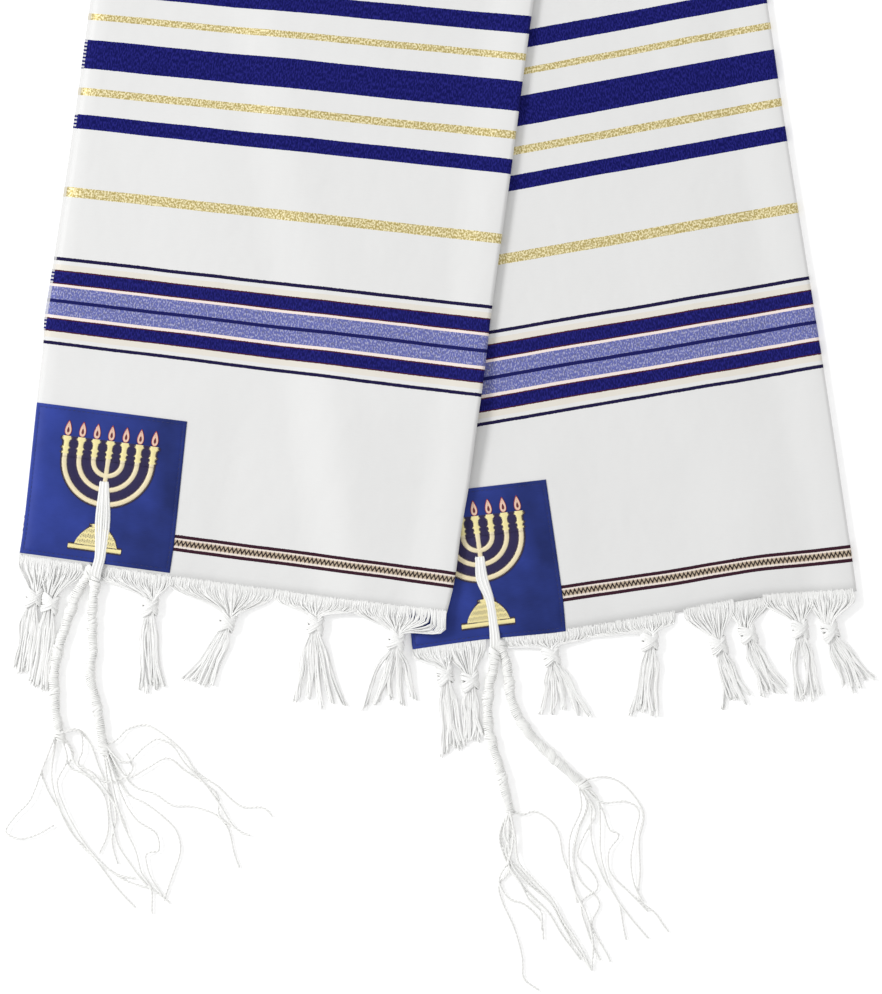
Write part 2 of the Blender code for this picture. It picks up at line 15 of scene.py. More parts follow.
import bpy
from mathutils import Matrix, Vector

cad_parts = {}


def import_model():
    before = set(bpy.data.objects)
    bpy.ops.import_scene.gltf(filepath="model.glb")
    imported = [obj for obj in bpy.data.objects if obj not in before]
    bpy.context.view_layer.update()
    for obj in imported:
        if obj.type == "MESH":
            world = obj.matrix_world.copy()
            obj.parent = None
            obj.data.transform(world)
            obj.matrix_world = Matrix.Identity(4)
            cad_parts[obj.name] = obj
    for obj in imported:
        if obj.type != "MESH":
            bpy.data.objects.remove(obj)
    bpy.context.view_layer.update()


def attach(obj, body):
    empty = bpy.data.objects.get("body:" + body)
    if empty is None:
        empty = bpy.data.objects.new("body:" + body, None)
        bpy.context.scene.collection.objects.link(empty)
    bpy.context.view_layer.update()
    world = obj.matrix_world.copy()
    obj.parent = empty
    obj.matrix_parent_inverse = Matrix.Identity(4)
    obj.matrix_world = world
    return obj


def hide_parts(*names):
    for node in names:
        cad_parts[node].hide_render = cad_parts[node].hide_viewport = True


LOG = logging.getLogger("shawl")
MM = 0.001
FRINGE_SEED = 100
CORD_SEED = 31
Point = tuple[float, float, float]
Colour = tuple[float, float, float]
Row = tuple[float, float, float, float, float]


class Layer(Enum):
    """The two layers of the doubled cloth."""

    TOP = "top"
    UNDER = "under"


class Slot(Enum):
    """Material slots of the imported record."""

    CLOTH = "cloth"
    SATIN = "satin"
    THREAD = "thread"


@dataclass(frozen=True)
class Sizes:
    """Shared sizes of the laid-out cloth, in millimetres."""

    plan_shift: Point = (1.0, -3.0, 0.0)
    doubled: float = 3.0
    patch_rise: float = 1.3
    seam_gap: float = 0.3
    patch_width: float = 98.0
    patch_length: float = 100.0
    patch_fade_width: float = 34.0
    patch_fade_length: float = 40.0
    crease_puff: float = 2.4
    neck_crease_puff: float = 0.4
    crease_reach: float = 32.0
    crease_flat: float = 6.0
    arm_length: float = 880.0
    neck_inner_radius: float = 4.0
    neck_axis_height: float = 7.0
    neck_axis_y: float = 565.3
    neck_rise_start: float = 740.0
    support_margin: float = 0.1
    support_lead: float = 25.0
    support_ramp: float = 38.0
    patch_support_top: float = -150.0
    patch_support_ramp: float = 55.0
    sway_reach: float = 90.0
    hem_sway_reach: float = 16.0


SIZES = Sizes()

UPPER_ROWS: tuple[Row, ...] = (
    # along, selvedge x, selvedge y, crease x, crease y
    (0.0, -267.7, -292.8, 1.0, -327.8),
    (21.0, -264.5, -271.2, 4.1, -306.8),
    (140.0, -251.8, -155.3, 26.4, -189.7),
    (194.5, -243.5, -102.2, 33.4, -133.7),
    (282.5, -230.8, -15.3, 45.8, -44.6),
    (371.5, -219.0, 70.7, 57.6, 45.2),
    (540.0, -195.8, 229.2, 81.2, 210.7),
    (700.0, -172.8, 387.1, 104.7, 377.5),
    (880.0, -153.1, 565.3, 130.2, 565.3),
)
LOWER_ROWS: tuple[Row, ...] = (
    # along, selvedge x, selvedge y, crease x, crease y
    (0.0, -17.5, -351.4, 265.1, -311.9),
    (21.0, -19.4, -330.4, 262.0, -289.3),
    (140.0, -35.3, -218.4, 244.1, -170.9),
    (194.5, -41.7, -161.7, 235.2, -114.9),
    (282.5, -56.3, -73.2, 220.6, -23.2),
    (371.5, -69.1, 14.6, 207.8, 64.9),
    (540.0, -92.6, 183.3, 183.7, 220.3),
    (700.0, -117.5, 348.9, 159.5, 374.3),
    (880.0, -153.1, 565.3, 130.2, 565.3),
)
UPPER_RIDGES: tuple[Row, ...] = (
    # across, along, half width, half length, height
    (185.0, 70.0, 70.0, 80.0, 1.8),
    (110.0, 250.0, 80.0, 110.0, 1.5),
    (180.0, 430.0, 80.0, 120.0, 2.0),
    (90.0, 620.0, 80.0, 110.0, 1.8),
)
LOWER_RIDGES: tuple[Row, ...] = (
    # across, along, half width, half length, height
    (225.0, 45.0, 50.0, 70.0, 2.2),
    (215.0, 200.0, 55.0, 90.0, 1.6),
    (235.0, 380.0, 45.0, 110.0, 1.8),
)
UPPER_SWAYS: tuple[tuple[float, float, float], ...] = (
    # across, whole rows, hem alone
    (0.0, 0.0, 0.3), (95.0, 0.0, -0.2), (190.0, 0.3, -0.8), (285.0, 0.0, 0.4),
)
LOWER_SWAYS: tuple[tuple[float, float, float], ...] = (
    # across, whole rows, hem alone
    (0.0, 0.0, 0.0), (46.0, 0.0, 0.0), (95.0, 0.0, -2.0), (140.0, 0.0, -1.2),
    (170.0, 0.1, 0.0), (222.0, 1.3, 1.5), (255.0, -0.1, 0.3), (290.0, -1.6, -0.9),
)
UPPER_FLARES: tuple[tuple[float, float], ...] = (
    # along, how far the crease lies outside its straight rows
    (0.0, 3.6), (16.0, 5.3), (26.0, 5.4), (46.0, 4.1), (65.0, 3.3), (81.0, 3.0),
    (105.0, 1.6), (125.0, 0.6), (150.0, 0.0),
)
LOWER_FLARES: tuple[tuple[float, float], ...] = ((0.0, 0.0), (75.0, 0.0), (150.0, 0.0))


def ease(value: float) -> float:
    """Smooth step from 0 to 1."""
    value = min(1.0, max(0.0, value))
    return value * value * (3.0 - 2.0 * value)


def curve_through(table: tuple[tuple[float, ...], ...], key: float) -> list[float]:
    """Smooth value of every column of a table whose first column is the key.

    Args:
        table: Rows in order of their key.
        key: The key to read the table at.

    Returns:
        One value for each column after the first.
    """
    last = len(table) - 1
    index = next((i for i in range(last - 1) if key < table[i + 1][0]), last - 1)
    start, end = table[index], table[index + 1]
    span = end[0] - start[0]
    part = (key - start[0]) / span
    before = table[index - 1] if index > 0 else start
    after = table[index + 2] if index + 2 <= last else end
    values = []
    for column in range(1, len(start)):
        slope_in = (end[column] - before[column]) / (end[0] - before[0])
        slope_out = (after[column] - start[column]) / (after[0] - start[0])
        values.append(
            start[column] * (2 * part ** 3 - 3 * part ** 2 + 1)
            + end[column] * (3 * part ** 2 - 2 * part ** 3)
            + slope_in * span * (part ** 3 - 2 * part ** 2 + part)
            + slope_out * span * (part ** 3 - part ** 2))
    return values


def placed(x: float, y: float, z: float) -> Point:
    """A plan point in millimetres, set in the model's frame."""
    shift = SIZES.plan_shift
    return ((x + shift[0]) * MM, (y + shift[1]) * MM, (z + shift[2]) * MM)


@dataclass(frozen=True)
class Arm:
    """Where the cloth of one arm lies."""

    name: str
    rows: tuple[Row, ...]
    ridges: tuple[Row, ...]
    is_upper: bool
    sways: tuple[tuple[float, float, float], ...]
    flares: tuple[tuple[float, float], ...]
    edge_reach: float = 8.0
    edge_drop: float = 1.5

    def ends(self, along: float) -> tuple[Vector, Vector]:
        """Plan ends of a row.

        Args:
            along: Distance from the hem.

        Returns:
            The points at the selvedge and at the crease.
        """
        left_x, left_y, right_x, right_y = curve_through(self.rows, along)
        left, right = Vector((left_x, left_y)), Vector((right_x, right_y))
        flare = curve_through(self.flares, min(along, self.flares[-1][0]))[0]
        return left, right + (right - left).normalized() * flare

    def width(self, along: float) -> float:
        """Width of the doubled arm at a row.

        Args:
            along: Distance from the hem.

        Returns:
            The width.
        """
        left, right = self.ends(along)
        return (right - left).length

    def plan(self, across: float, along: float) -> Vector:
        """Plan point on the cloth.

        Args:
            across: Distance from the selvedge.
            along: Distance from the hem.

        Returns:
            The point.
        """
        left, right = self.ends(along)
        straight = left + (right - left).normalized() * across
        return straight - self.hem_ways()[1] * self.sway(across, along)

    def sway(self, across: float, along: float) -> float:
        """How far the cloth near the hem lies off its straight rows.

        Args:
            across: Distance from the selvedge.
            along: Distance from the hem.

        Returns:
            The distance, towards the neck.
        """
        whole, hem = curve_through(self.sways, across)
        fade = 1.0 - ease(along / SIZES.sway_reach)
        hem_fade = 1.0 - ease(along / SIZES.hem_sway_reach)
        return whole * fade + hem * hem_fade

    def corner_lift(self, across: float, along: float) -> float:
        """Height of the cloth over the corner piece that lies under it.

        Args:
            across: Distance from the selvedge.
            along: Distance from the hem.

        Returns:
            The height.
        """
        sideways = 1.0 - ease((across - SIZES.patch_width) / SIZES.patch_fade_width)
        lengthways = 1.0 - ease((along - SIZES.patch_length) / SIZES.patch_fade_length)
        return SIZES.patch_rise * sideways * lengthways

    def ridge_height(self, across: float, along: float) -> float:
        """Height that the soft ridges add to the top layer.

        Args:
            across: Distance from the selvedge.
            along: Distance from the hem.

        Returns:
            The height.
        """
        height = 0.0
        for ridge_across, ridge_along, half_width, half_length, ridge_height in self.ridges:
            reach = math.hypot((across - ridge_across) / half_width, (along - ridge_along) / half_length)
            if reach < 1.0:
                height += ridge_height * math.cos(0.5 * math.pi * reach) ** 2
        return height

    def base(self, across: float, along: float) -> float:
        """Height of the underside of the cloth.

        Args:
            across: Distance from the selvedge.
            along: Distance from the hem.

        Returns:
            The height.
        """
        lift = self.corner_lift(across, along)
        if not self.is_upper:
            return lift
        point = self.plan(across, along)
        support = lift + support_height(point.x, point.y)
        rolled = SIZES.neck_axis_height + SIZES.neck_inner_radius
        rise = ease((along - SIZES.neck_rise_start) / (SIZES.arm_length - SIZES.neck_rise_start))
        return support + (rolled - support) * rise

    def puff(self, along: float) -> float:
        """How far the crease stands above flat layers."""
        part = ease((along - SIZES.neck_rise_start) / (SIZES.arm_length - SIZES.neck_rise_start))
        return SIZES.crease_puff + (SIZES.neck_crease_puff - SIZES.crease_puff) * part

    def top(self, across: float, along: float) -> float:
        """Height of the top layer's upper face.

        Args:
            across: Distance from the selvedge.
            along: Distance from the hem.

        Returns:
            The height.
        """
        width = self.width(along)
        rise = ease((across - (width - SIZES.crease_reach)) / (SIZES.crease_reach - SIZES.crease_flat))
        height = SIZES.doubled + self.puff(along) * rise + self.ridge_height(across, along)
        hem = 1.0 - ease(along / self.edge_reach)
        selvedge = (1.0 - ease(across / self.edge_reach)) * (1.0 - rise)
        return self.base(across, along) + height - self.edge_drop * max(hem * (1.0 - rise), selvedge)

    def hem_ways(self) -> tuple[Vector, Vector]:
        """Plan directions at the hem.

        Returns:
            The direction along the hem and the one out of it.
        """
        left, right = self.ends(0.0)
        along_hem = (right - left).normalized()
        return along_hem, Vector((along_hem.y, -along_hem.x))

    def hem_point(self, along_hem: float, out: float) -> Vector:
        """Plan point beside the hem."""
        way, outwards = self.hem_ways()
        return self.ends(0.0)[0] + way * along_hem + outwards * out


def lower_selvedge_x(y: float) -> float:
    """Plan x of the lower arm's selvedge.

    Args:
        y: Plan y.

    Returns:
        The plan x.
    """
    rows = LOWER_ROWS
    row = next((i for i in range(len(rows) - 2) if y < rows[i + 1][2]), len(rows) - 2)
    first, second = rows[row], rows[row + 1]
    part = min(1.0, max(0.0, (y - first[2]) / (second[2] - first[2])))
    return first[1] + part * (second[1] - first[1])


def support_height(x: float, y: float) -> float:
    """Height at which the upper arm lies over the floor or over the lower arm.

    Args:
        x: Plan x.
        y: Plan y.

    Returns:
        The height.
    """
    over = x - lower_selvedge_x(y)
    sideways = ease((over + SIZES.support_lead + SIZES.support_ramp) / SIZES.support_ramp)
    corner = 2 * SIZES.patch_rise * ease((SIZES.patch_support_top - y) / SIZES.patch_support_ramp)
    return sideways * (SIZES.doubled + SIZES.seam_gap + SIZES.support_margin + corner)


UPPER_ARM = Arm("upper", UPPER_ROWS, UPPER_RIDGES, True, UPPER_SWAYS, UPPER_FLARES)
LOWER_ARM = Arm("lower", LOWER_ROWS, LOWER_RIDGES, False, LOWER_SWAYS, LOWER_FLARES)


class Value:
    """One shader value, with the arithmetic that the finishes need."""

    def __init__(self, nodes: Nodes, socket: bpy.types.NodeSocket) -> None:
        """Wrap a socket.

        Args:
            nodes: The material's nodes.
            socket: The output that holds the value.
        """
        self.nodes = nodes
        self.socket = socket

    def math(self, operation: str, *others: Value | float) -> Value:
        """Run one Math node.

        Args:
            operation: The node's operation.
            others: The other inputs.

        Returns:
            The result.
        """
        inputs = {0: self}
        inputs.update({index + 1: other for index, other in enumerate(others)})
        node = self.nodes.add("ShaderNodeMath", {"operation": operation}, inputs)
        return Value(self.nodes, node.outputs[0])

    def __add__(self, other: Value | float) -> Value:
        """Add another value."""
        return self.math("ADD", other)

    def __radd__(self, other: float) -> Value:
        """Add this value to a number."""
        return self.math("ADD", other)

    def __mul__(self, other: Value | float) -> Value:
        """Multiply by another value."""
        return self.math("MULTIPLY", other)

    def __rmul__(self, other: float) -> Value:
        """Multiply a number by this value."""
        return self.math("MULTIPLY", other)

    def __sub__(self, other: Value | float) -> Value:
        """Subtract another value."""
        return self.math("SUBTRACT", other)

    def __rsub__(self, other: float) -> Value:
        """Subtract this value from a number."""
        return (self * -1.0).math("ADD", other)

    def __truediv__(self, other: Value | float) -> Value:
        """Divide by another value."""
        return self.math("DIVIDE", other)

    def above(self, limit: float) -> Value:
        """1 where this value is above a limit, and 0 elsewhere."""
        return self.math("GREATER_THAN", limit)

    def below(self, limit: float) -> Value:
        """1 where this value is below a limit, and 0 elsewhere."""
        return self.math("LESS_THAN", limit)

    def clipped(self, high: float = 1.0) -> Value:
        """This value, held between 0 and an upper limit."""
        return self.math("MAXIMUM", 0.0).math("MINIMUM", high)

    def wave(self, pitch: float) -> Value:
        """A sine of this value from 0 to 1.

        Args:
            pitch: Length of one wave.

        Returns:
            The wave.
        """
        return (self * (2.0 * math.pi / pitch)).math("SINE") * 0.5 + 0.5

    def zigzag(self, pitch: float) -> Value:
        """A triangle wave of this value from 0 to 1."""
        return self.math("PINGPONG", 0.5 * pitch) * (2.0 / pitch)

    def within(self, low: float, high: float) -> Value:
        """Whether this value lies between two limits."""
        return self.above(low) * self.below(high)


class Nodes:
    """Adds shader nodes to one new material."""

    def __init__(self, name: str) -> None:
        """Make the material.

        Args:
            name: The material's name.
        """
        self.material = bpy.data.materials.new(name)
        self.material.use_nodes = True
        self.tree = self.material.node_tree
        self.shader = self.tree.nodes["Principled BSDF"]

    def add(self, kind: str, settings: dict[str, object],
            sockets: dict[int | str, object]) -> bpy.types.Node:
        """Add one node.

        Args:
            kind: The node's type.
            settings: Its properties.
            sockets: Its inputs, each a Value, an output socket or a constant.

        Returns:
            The node.
        """
        node = self.tree.nodes.new(kind)
        for key, value in settings.items():
            setattr(node, key, value)
        for key, value in sockets.items():
            if isinstance(value, Value):
                self.tree.links.new(value.socket, node.inputs[key])
            elif isinstance(value, bpy.types.NodeSocket):
                self.tree.links.new(value, node.inputs[key])
            else:
                node.inputs[key].default_value = value
        return node

    def object_point(self) -> bpy.types.NodeSocket:
        """The shaded point in the piece's own space.

        Returns:
            The vector socket.
        """
        return self.add("ShaderNodeTexCoord", {}, {}).outputs["Object"]

    def cloth_way(self) -> tuple[Value, Value, bpy.types.NodeSocket]:
        """Where the shaded point lies on the flat cloth, in millimetres.

        Returns:
            The distances across and along, and the whole vector.
        """
        coords = self.add("ShaderNodeTexCoord", {}, {}).outputs["UV"]
        scaled = self.add("ShaderNodeVectorMath", {"operation": "SCALE"}, {0: coords, "Scale": 1.0 / MM})
        split = self.add("ShaderNodeSeparateXYZ", {}, {0: scaled.outputs[0]})
        return Value(self, split.outputs[0]), Value(self, split.outputs[1]), scaled.outputs[0]

    def noise(self, point: bpy.types.NodeSocket, scale: float, detail: float = 2.0) -> Value:
        """Fractal noise from 0 to 1."""
        node = self.add("ShaderNodeTexNoise", {}, {"Vector": point, "Scale": scale, "Detail": detail})
        return Value(self, node.outputs["Fac"])

    def grain(self, flat: bpy.types.NodeSocket, across: float, along: float, detail: float = 2.0,
              scale: float = 1.0) -> Value:
        """Noise that is stretched along the cloth or across it.

        Args:
            flat: The shaded point on the flat cloth.
            across: How fine it is across.
            along: How fine it is along.
            detail: Its octaves.
            scale: The scale of both.

        Returns:
            The noise, from 0 to 1.
        """
        scales = {0: flat, 1: (across, along, 1.0)}
        node = self.add("ShaderNodeVectorMath", {"operation": "MULTIPLY"}, scales)
        return self.noise(node.outputs[0], scale, detail)

    def ramp(self, value: Value, stops: list[tuple[float, tuple[float, float, float]]],
             interpolation: str = "LINEAR") -> bpy.types.NodeSocket:
        """Colours along a value.

        Args:
            value: The value, from 0 to 1.
            stops: Positions and colours.
            interpolation: How the colours run between stops.

        Returns:
            The colour.
        """
        node = self.add("ShaderNodeValToRGB", {}, {0: value})
        ramp = node.color_ramp
        ramp.interpolation = interpolation
        ramp.elements[0].position = stops[0][0]
        ramp.elements[0].color = (*stops[0][1], 1.0)
        ramp.elements.remove(ramp.elements[1])
        for position, colour in stops[1:]:
            ramp.elements.new(position).color = (*colour, 1.0)
        return node.outputs[0]

    def mix(self, factor: Value | float, first: object, second: object,
            blend: str = "MIX") -> bpy.types.NodeSocket:
        """Mix two colours.

        Args:
            factor: How much of the second.
            first: A colour or its socket.
            second: A colour or its socket.
            blend: The blend mode.

        Returns:
            The mixed colour.
        """
        def whole(colour: object) -> object:
            """A colour with its fourth value."""
            return (*colour, 1.0) if isinstance(colour, tuple) else colour

        node = self.add("ShaderNodeMix", {"data_type": "RGBA", "blend_type": blend},
                        {0: factor, 6: whole(first), 7: whole(second)})
        return node.outputs[2]

    def bump(self, height: Value, distance: float, strength: float = 1.0) -> None:
        """Set the shader's normal from a height.

        Args:
            height: Height from 0 to 1.
            distance: What a height of 1 stands for, in metres.
            strength: Strength of the effect.
        """
        sockets = {"Height": height, "Distance": distance, "Strength": strength}
        node = self.add("ShaderNodeBump", {}, sockets)
        self.tree.links.new(node.outputs[0], self.shader.inputs["Normal"])

    def feed(self, socket: str, source: object) -> None:
        """Set one input of the shader.

        Args:
            socket: The input's name.
            source: A Value, an output socket or a constant.
        """
        if isinstance(source, Value):
            source = source.socket
        if isinstance(source, bpy.types.NodeSocket):
            self.tree.links.new(source, self.shader.inputs[socket])
        else:
            self.shader.inputs[socket].default_value = source


@dataclass(frozen=True)
class WovenFinish:
    """White cloth with woven stripes; distances in millimetres from the hem."""

    white: Colour = (0.705, 0.705, 0.70)
    gold: Colour = (0.43, 0.34, 0.12)
    painted_glint: Colour = (0.84, 0.76, 0.48)
    blue: Colour = (0.0025, 0.0035, 0.080)
    dark: Colour = (0.0045, 0.0045, 0.080)
    navy: Colour = (0.010, 0.007, 0.045)
    core: Colour = (0.009, 0.010, 0.095)
    chambray: Colour = (0.120, 0.135, 0.39)
    cream: Colour = (0.80, 0.70, 0.66)
    trim_edge: Colour = (0.035, 0.01, 0.02)
    trim_ground: Colour = (0.76, 0.68, 0.62)
    trim_khaki: Colour = (0.47, 0.38, 0.28)
    trim_tooth: Colour = (0.014, 0.008, 0.010)
    maroon: Colour = (0.06, 0.010, 0.022)
    ivory: Colour = (0.70, 0.665, 0.60)
    dusk: Colour = (0.13, 0.13, 0.19)
    fleck: Colour = (0.50, 0.50, 0.66)
    rib: Colour = (0.022, 0.022, 0.235)
    selvedge: float = 2.3
    selvedge_bind: float = 0.7
    dash_pitch: float = 2.4
    band_length: float = 70.0
    stripes_from: float = 212.0
    stripes_length: float = 160.0
    glitter_inset: float = 3.0
    contrast: float = 5.0
    trim_start: float = 16.6
    trim_end: float = 27.0
    trim_line: float = 2.1
    khaki_half: float = 1.9
    zigzag_pitch: float = 2.7
    zigzag_height: float = 2.8
    zigzag_half: float = 1.0
    zigzag_shift: float = 0.1
    yarn_pitch: float = 0.55
    roughness: float = 0.86
    bump_depth: float = 0.0012
    bump_strength: float = 0.5

    def band(self) -> list[tuple[float, Colour, float, float]]:
        """The chambray band and its side stripes.

        Returns:
            Start, colour, and how much it glitters and how much it is dyed, for each stripe.
        """
        return [
            (130.0, self.white, 0.0, 0.0), (139.0, self.navy, 0.0, 0.3), (141.2, self.white, 0.0, 0.0),
            (143.4, self.ivory, 0.0, 0.0), (147.4, self.maroon, 0.0, 0.0), (148.3, self.dark, 0.0, 1.0),
            (155.3, self.maroon, 0.0, 0.0), (156.1, self.cream, 0.0, 0.0),
            (158.0, self.chambray, 0.0, 0.6), (166.2, self.core, 0.0, 0.4),
            (168.4, self.chambray, 0.0, 0.6), (176.5, self.cream, 0.0, 0.0),
            (178.3, self.maroon, 0.0, 0.0), (179.1, self.dark, 0.0, 1.0),
            (186.4, self.maroon, 0.0, 0.0), (187.2, self.ivory, 0.0, 0.0),
            (190.8, self.white, 0.0, 0.0), (193.2, self.navy, 0.0, 0.3), (195.4, self.white, 0.0, 0.0),
        ]

    def stripes(self) -> list[tuple[float, Colour, float, float]]:
        """The gold and blue stripes beyond the band.

        Returns:
            Start, colour, and how much it glitters and how much it is dyed, for each stripe.
        """
        return [
            (225.0, self.white, 0.0, 0.0), (233.8, self.gold, 1.0, 0.0), (240.4, self.white, 0.0, 0.0),
            (278.0, self.blue, 0.0, 1.0), (287.0, self.white, 0.0, 0.0), (299.4, self.gold, 1.0, 0.0),
            (304.8, self.white, 0.0, 0.0), (317.5, self.blue, 0.0, 1.0), (336.0, self.white, 0.0, 0.0),
            (348.9, self.gold, 1.0, 0.0), (353.6, self.white, 0.0, 0.0), (366.0, self.blue, 0.0, 1.0),
            (377.0, self.white, 0.0, 0.0),
        ]

    def run(self, nodes: Nodes, level: Value, table: list[tuple[float, Colour, float, float]],
            length: float) -> tuple[bpy.types.NodeSocket, Value, Value]:
        """Colour, glitter and dye along one run of stripes.

        Args:
            nodes: The material's nodes.
            level: Distance from the hem.
            table: The stripes.
            length: Length of the run.

        Returns:
            The colour, the glitter and the dye.
        """
        start = table[0][0]
        place = (level - start) / length
        tint = nodes.ramp(place, [((s - start) / length, c) for s, c, _, _ in table], "CONSTANT")
        kinds = [((s - start) / length, (glitter, dye, 0.0)) for s, _, glitter, dye in table]
        split = nodes.add("ShaderNodeSeparateColor", {}, {0: nodes.ramp(place, kinds, "CONSTANT")})
        return tint, Value(nodes, split.outputs[0]), Value(nodes, split.outputs[1])

    def striped(self, nodes: Nodes, across: Value, along: Value, level: Value,
                flat: bpy.types.NodeSocket) -> tuple[bpy.types.NodeSocket, Value]:
        """The cloth's ground with its woven stripes and its stitched selvedge.

        Args:
            nodes: The material's nodes.
            across: Distance from the selvedge.
            along: Distance from the hem.
            level: The same, a little uneven as woven.
            flat: The shaded point on the flat cloth.

        Returns:
            The colour, and how much it glitters.
        """
        near_tint, near_glitter, near_dye = self.run(nodes, level, self.band(), self.band_length)
        far_tint, far_glitter, far_dye = self.run(nodes, level, self.stripes(), self.stripes_length)
        beyond = level.above(self.stripes_from)
        tint = nodes.mix(beyond, near_tint, far_tint)
        glitter = near_glitter + beyond * (far_glitter - near_glitter)
        dye = near_dye + beyond * (far_dye - near_dye)
        deep = dye.above(0.8)
        pale = dye.within(0.5, 0.7)
        ribs = nodes.grain(flat, 1.25, 0.45, 3.0)
        flecks = nodes.grain(flat, 0.9, 0.5, 2.0, 1.3)
        tint = nodes.mix(((ribs - 0.46) * self.contrast).clipped(0.6) * deep, tint, self.rib)
        tint = nodes.mix(((ribs - 0.49) * self.contrast).clipped(0.65) * pale, tint, self.dusk)
        tint = nodes.mix(((flecks - 0.50) * self.contrast).clipped(0.6) * pale, tint, self.fleck)
        dash = along.wave(self.dash_pitch).below(0.5)
        turned = across.below(self.selvedge)
        bound = across.within(self.selvedge, self.selvedge + self.selvedge_bind)
        share = turned * (deep * dash * 0.8 + (1.0 - deep) * 0.6) + bound * 0.85
        return nodes.mix(share.clipped(), tint, self.white), glitter * across.above(self.glitter_inset)

    def trimmed(self, nodes: Nodes, across: Value, level: Value, flat: bpy.types.NodeSocket,
                tint: bpy.types.NodeSocket) -> bpy.types.NodeSocket:
        """Lay the zigzag trim of the hem over a colour.

        Args:
            nodes: The material's nodes.
            across: Distance from the selvedge.
            level: Distance from the hem.
            flat: The shaded point on the flat cloth.
            tint: The colour below the trim.

        Returns:
            The colour.
        """
        ground = level.within(self.trim_start + self.trim_line, self.trim_end - self.trim_line)
        middle = 0.5 * (self.trim_start + self.trim_end) + self.zigzag_shift
        core = level.within(middle - self.khaki_half, middle + self.khaki_half)
        tooth = (across.zigzag(self.zigzag_pitch) - 0.5) * self.zigzag_height + middle
        on_tooth = (level - tooth).math("ABSOLUTE").below(self.zigzag_half)
        worn = (0.75 + 0.4 * nodes.grain(flat, 0.5, 0.5)).clipped()
        trim = nodes.mix(ground, self.trim_edge, self.trim_ground)
        trim = nodes.mix(core, trim, self.trim_khaki)
        trim = nodes.mix(on_tooth * worn, trim, self.trim_tooth)
        return nodes.mix(level.within(self.trim_start, self.trim_end), tint, trim)

    def material(self) -> bpy.types.Material:
        """Make the material.

        Returns:
            The material.
        """
        nodes = Nodes("woven_cloth")
        across, along, flat = nodes.cloth_way()
        wander = nodes.grain(flat, 0.02, 0.02) - 0.5
        frayed = (nodes.grain(flat, 1.4, 0.6) - 0.5) * 0.7
        level = along + wander + frayed
        tint, glitter = self.striped(nodes, across, along, level, flat)
        tint = self.trimmed(nodes, across, level, flat, tint)
        slub = nodes.grain(flat, 0.15, 3.0, 3.0)
        patchy = nodes.grain(flat, 0.012, 0.012, 3.0)
        shade = 0.95 + 0.05 * slub + 0.03 * patchy
        grey = nodes.add("ShaderNodeCombineXYZ", {}, {0: shade, 1: shade, 2: shade}).outputs[0]
        tint = nodes.mix(1.0, tint, grey, "MULTIPLY")
        # Painted glints: bright pale spots mixed into the gold stripes' colour stand in for light caught by
        # the metallic thread.
        painted_glint_spots = (nodes.grain(flat, 0.95, 0.75, 3.0) - 0.44) * 6.5 * glitter
        nodes.feed("Base Color", nodes.mix(painted_glint_spots.clipped(), tint, self.painted_glint))
        nodes.feed("Roughness", self.roughness - 0.45 * glitter)
        nodes.feed("Metallic", 0.35 * glitter)
        nodes.feed("Specular IOR Level", 0.12)
        weft = along.wave(self.yarn_pitch)
        warp = across.wave(self.yarn_pitch)
        weave = weft * warp + (1.0 - weft) * (1.0 - warp)
        rumple = nodes.grain(flat, 0.05, 0.035)
        nodes.bump(0.06 * weave + 0.04 * slub + 1.2 * rumple, self.bump_depth, self.bump_strength)
        return nodes.material


@dataclass(frozen=True)
class SatinFinish:
    """Blue satin of the corner pieces, with a painted sheen that is lighter near the selvedge."""

    blue: Colour = (0.030, 0.058, 0.36)
    deep: Colour = (0.005, 0.014, 0.105)
    roughness: float = 0.5
    painted_sheen_width: float = 88.0
    weft_pitch: float = 0.45
    warp_pitch: float = 0.9
    bump_depth: float = 0.0008
    bump_strength: float = 0.5

    def material(self) -> bpy.types.Material:
        """Make the material.

        Returns:
            The material.
        """
        nodes = Nodes("blue_satin")
        across, along, flat = nodes.cloth_way()
        cloud = nodes.grain(flat, 0.03, 0.03, 3.0)
        lines = nodes.grain(flat, 0.2, 4.0)
        # Painted sheen: the colour runs from the deep blue to the lighter blue nearer the selvedge,
        # standing in for light on the satin, with random mottling and thread streaks on top.
        painted_sheen_fall = (1.0 - across / self.painted_sheen_width).clipped()
        share = 0.48 * painted_sheen_fall + 1.1 * (cloud - 0.5) + 0.32 * lines
        nodes.feed("Base Color", nodes.mix(share.clipped(), self.deep, self.blue))
        nodes.feed("Roughness", self.roughness + 0.12 * lines)
        nodes.feed("Specular IOR Level", 0.22)
        weave = 0.05 * along.wave(self.weft_pitch) + 0.03 * across.wave(self.warp_pitch)
        nodes.bump(weave + 0.5 * cloud, self.bump_depth, self.bump_strength)
        return nodes.material


@dataclass(frozen=True)
class YarnFinish:
    """Twisted yarn or thread in one colour."""

    name: str
    colour: Colour
    shade: Colour
    roughness: float = 0.8
    metallic: float = 0.0
    fibre_scale: float = 1500.0
    cloud_scale: float = 60.0
    sheen: float = 0.1
    bump_depth: float = 0.0002
    bump_strength: float = 0.6

    def material(self) -> bpy.types.Material:
        """Make the material.

        Returns:
            The material.
        """
        nodes = Nodes(self.name)
        point = nodes.object_point()
        fibres = nodes.noise(point, self.fibre_scale, 2.0)
        cloud = nodes.noise(point, self.cloud_scale, 2.0)
        nodes.feed("Base Color", nodes.mix(0.5 * fibres + 0.5 * cloud, self.shade, self.colour))
        nodes.feed("Roughness", self.roughness - 0.1 * fibres)
        nodes.feed("Metallic", self.metallic)
        nodes.feed("Sheen Weight", self.sheen)
        nodes.bump(fibres, self.bump_depth, self.bump_strength)
        return nodes.material


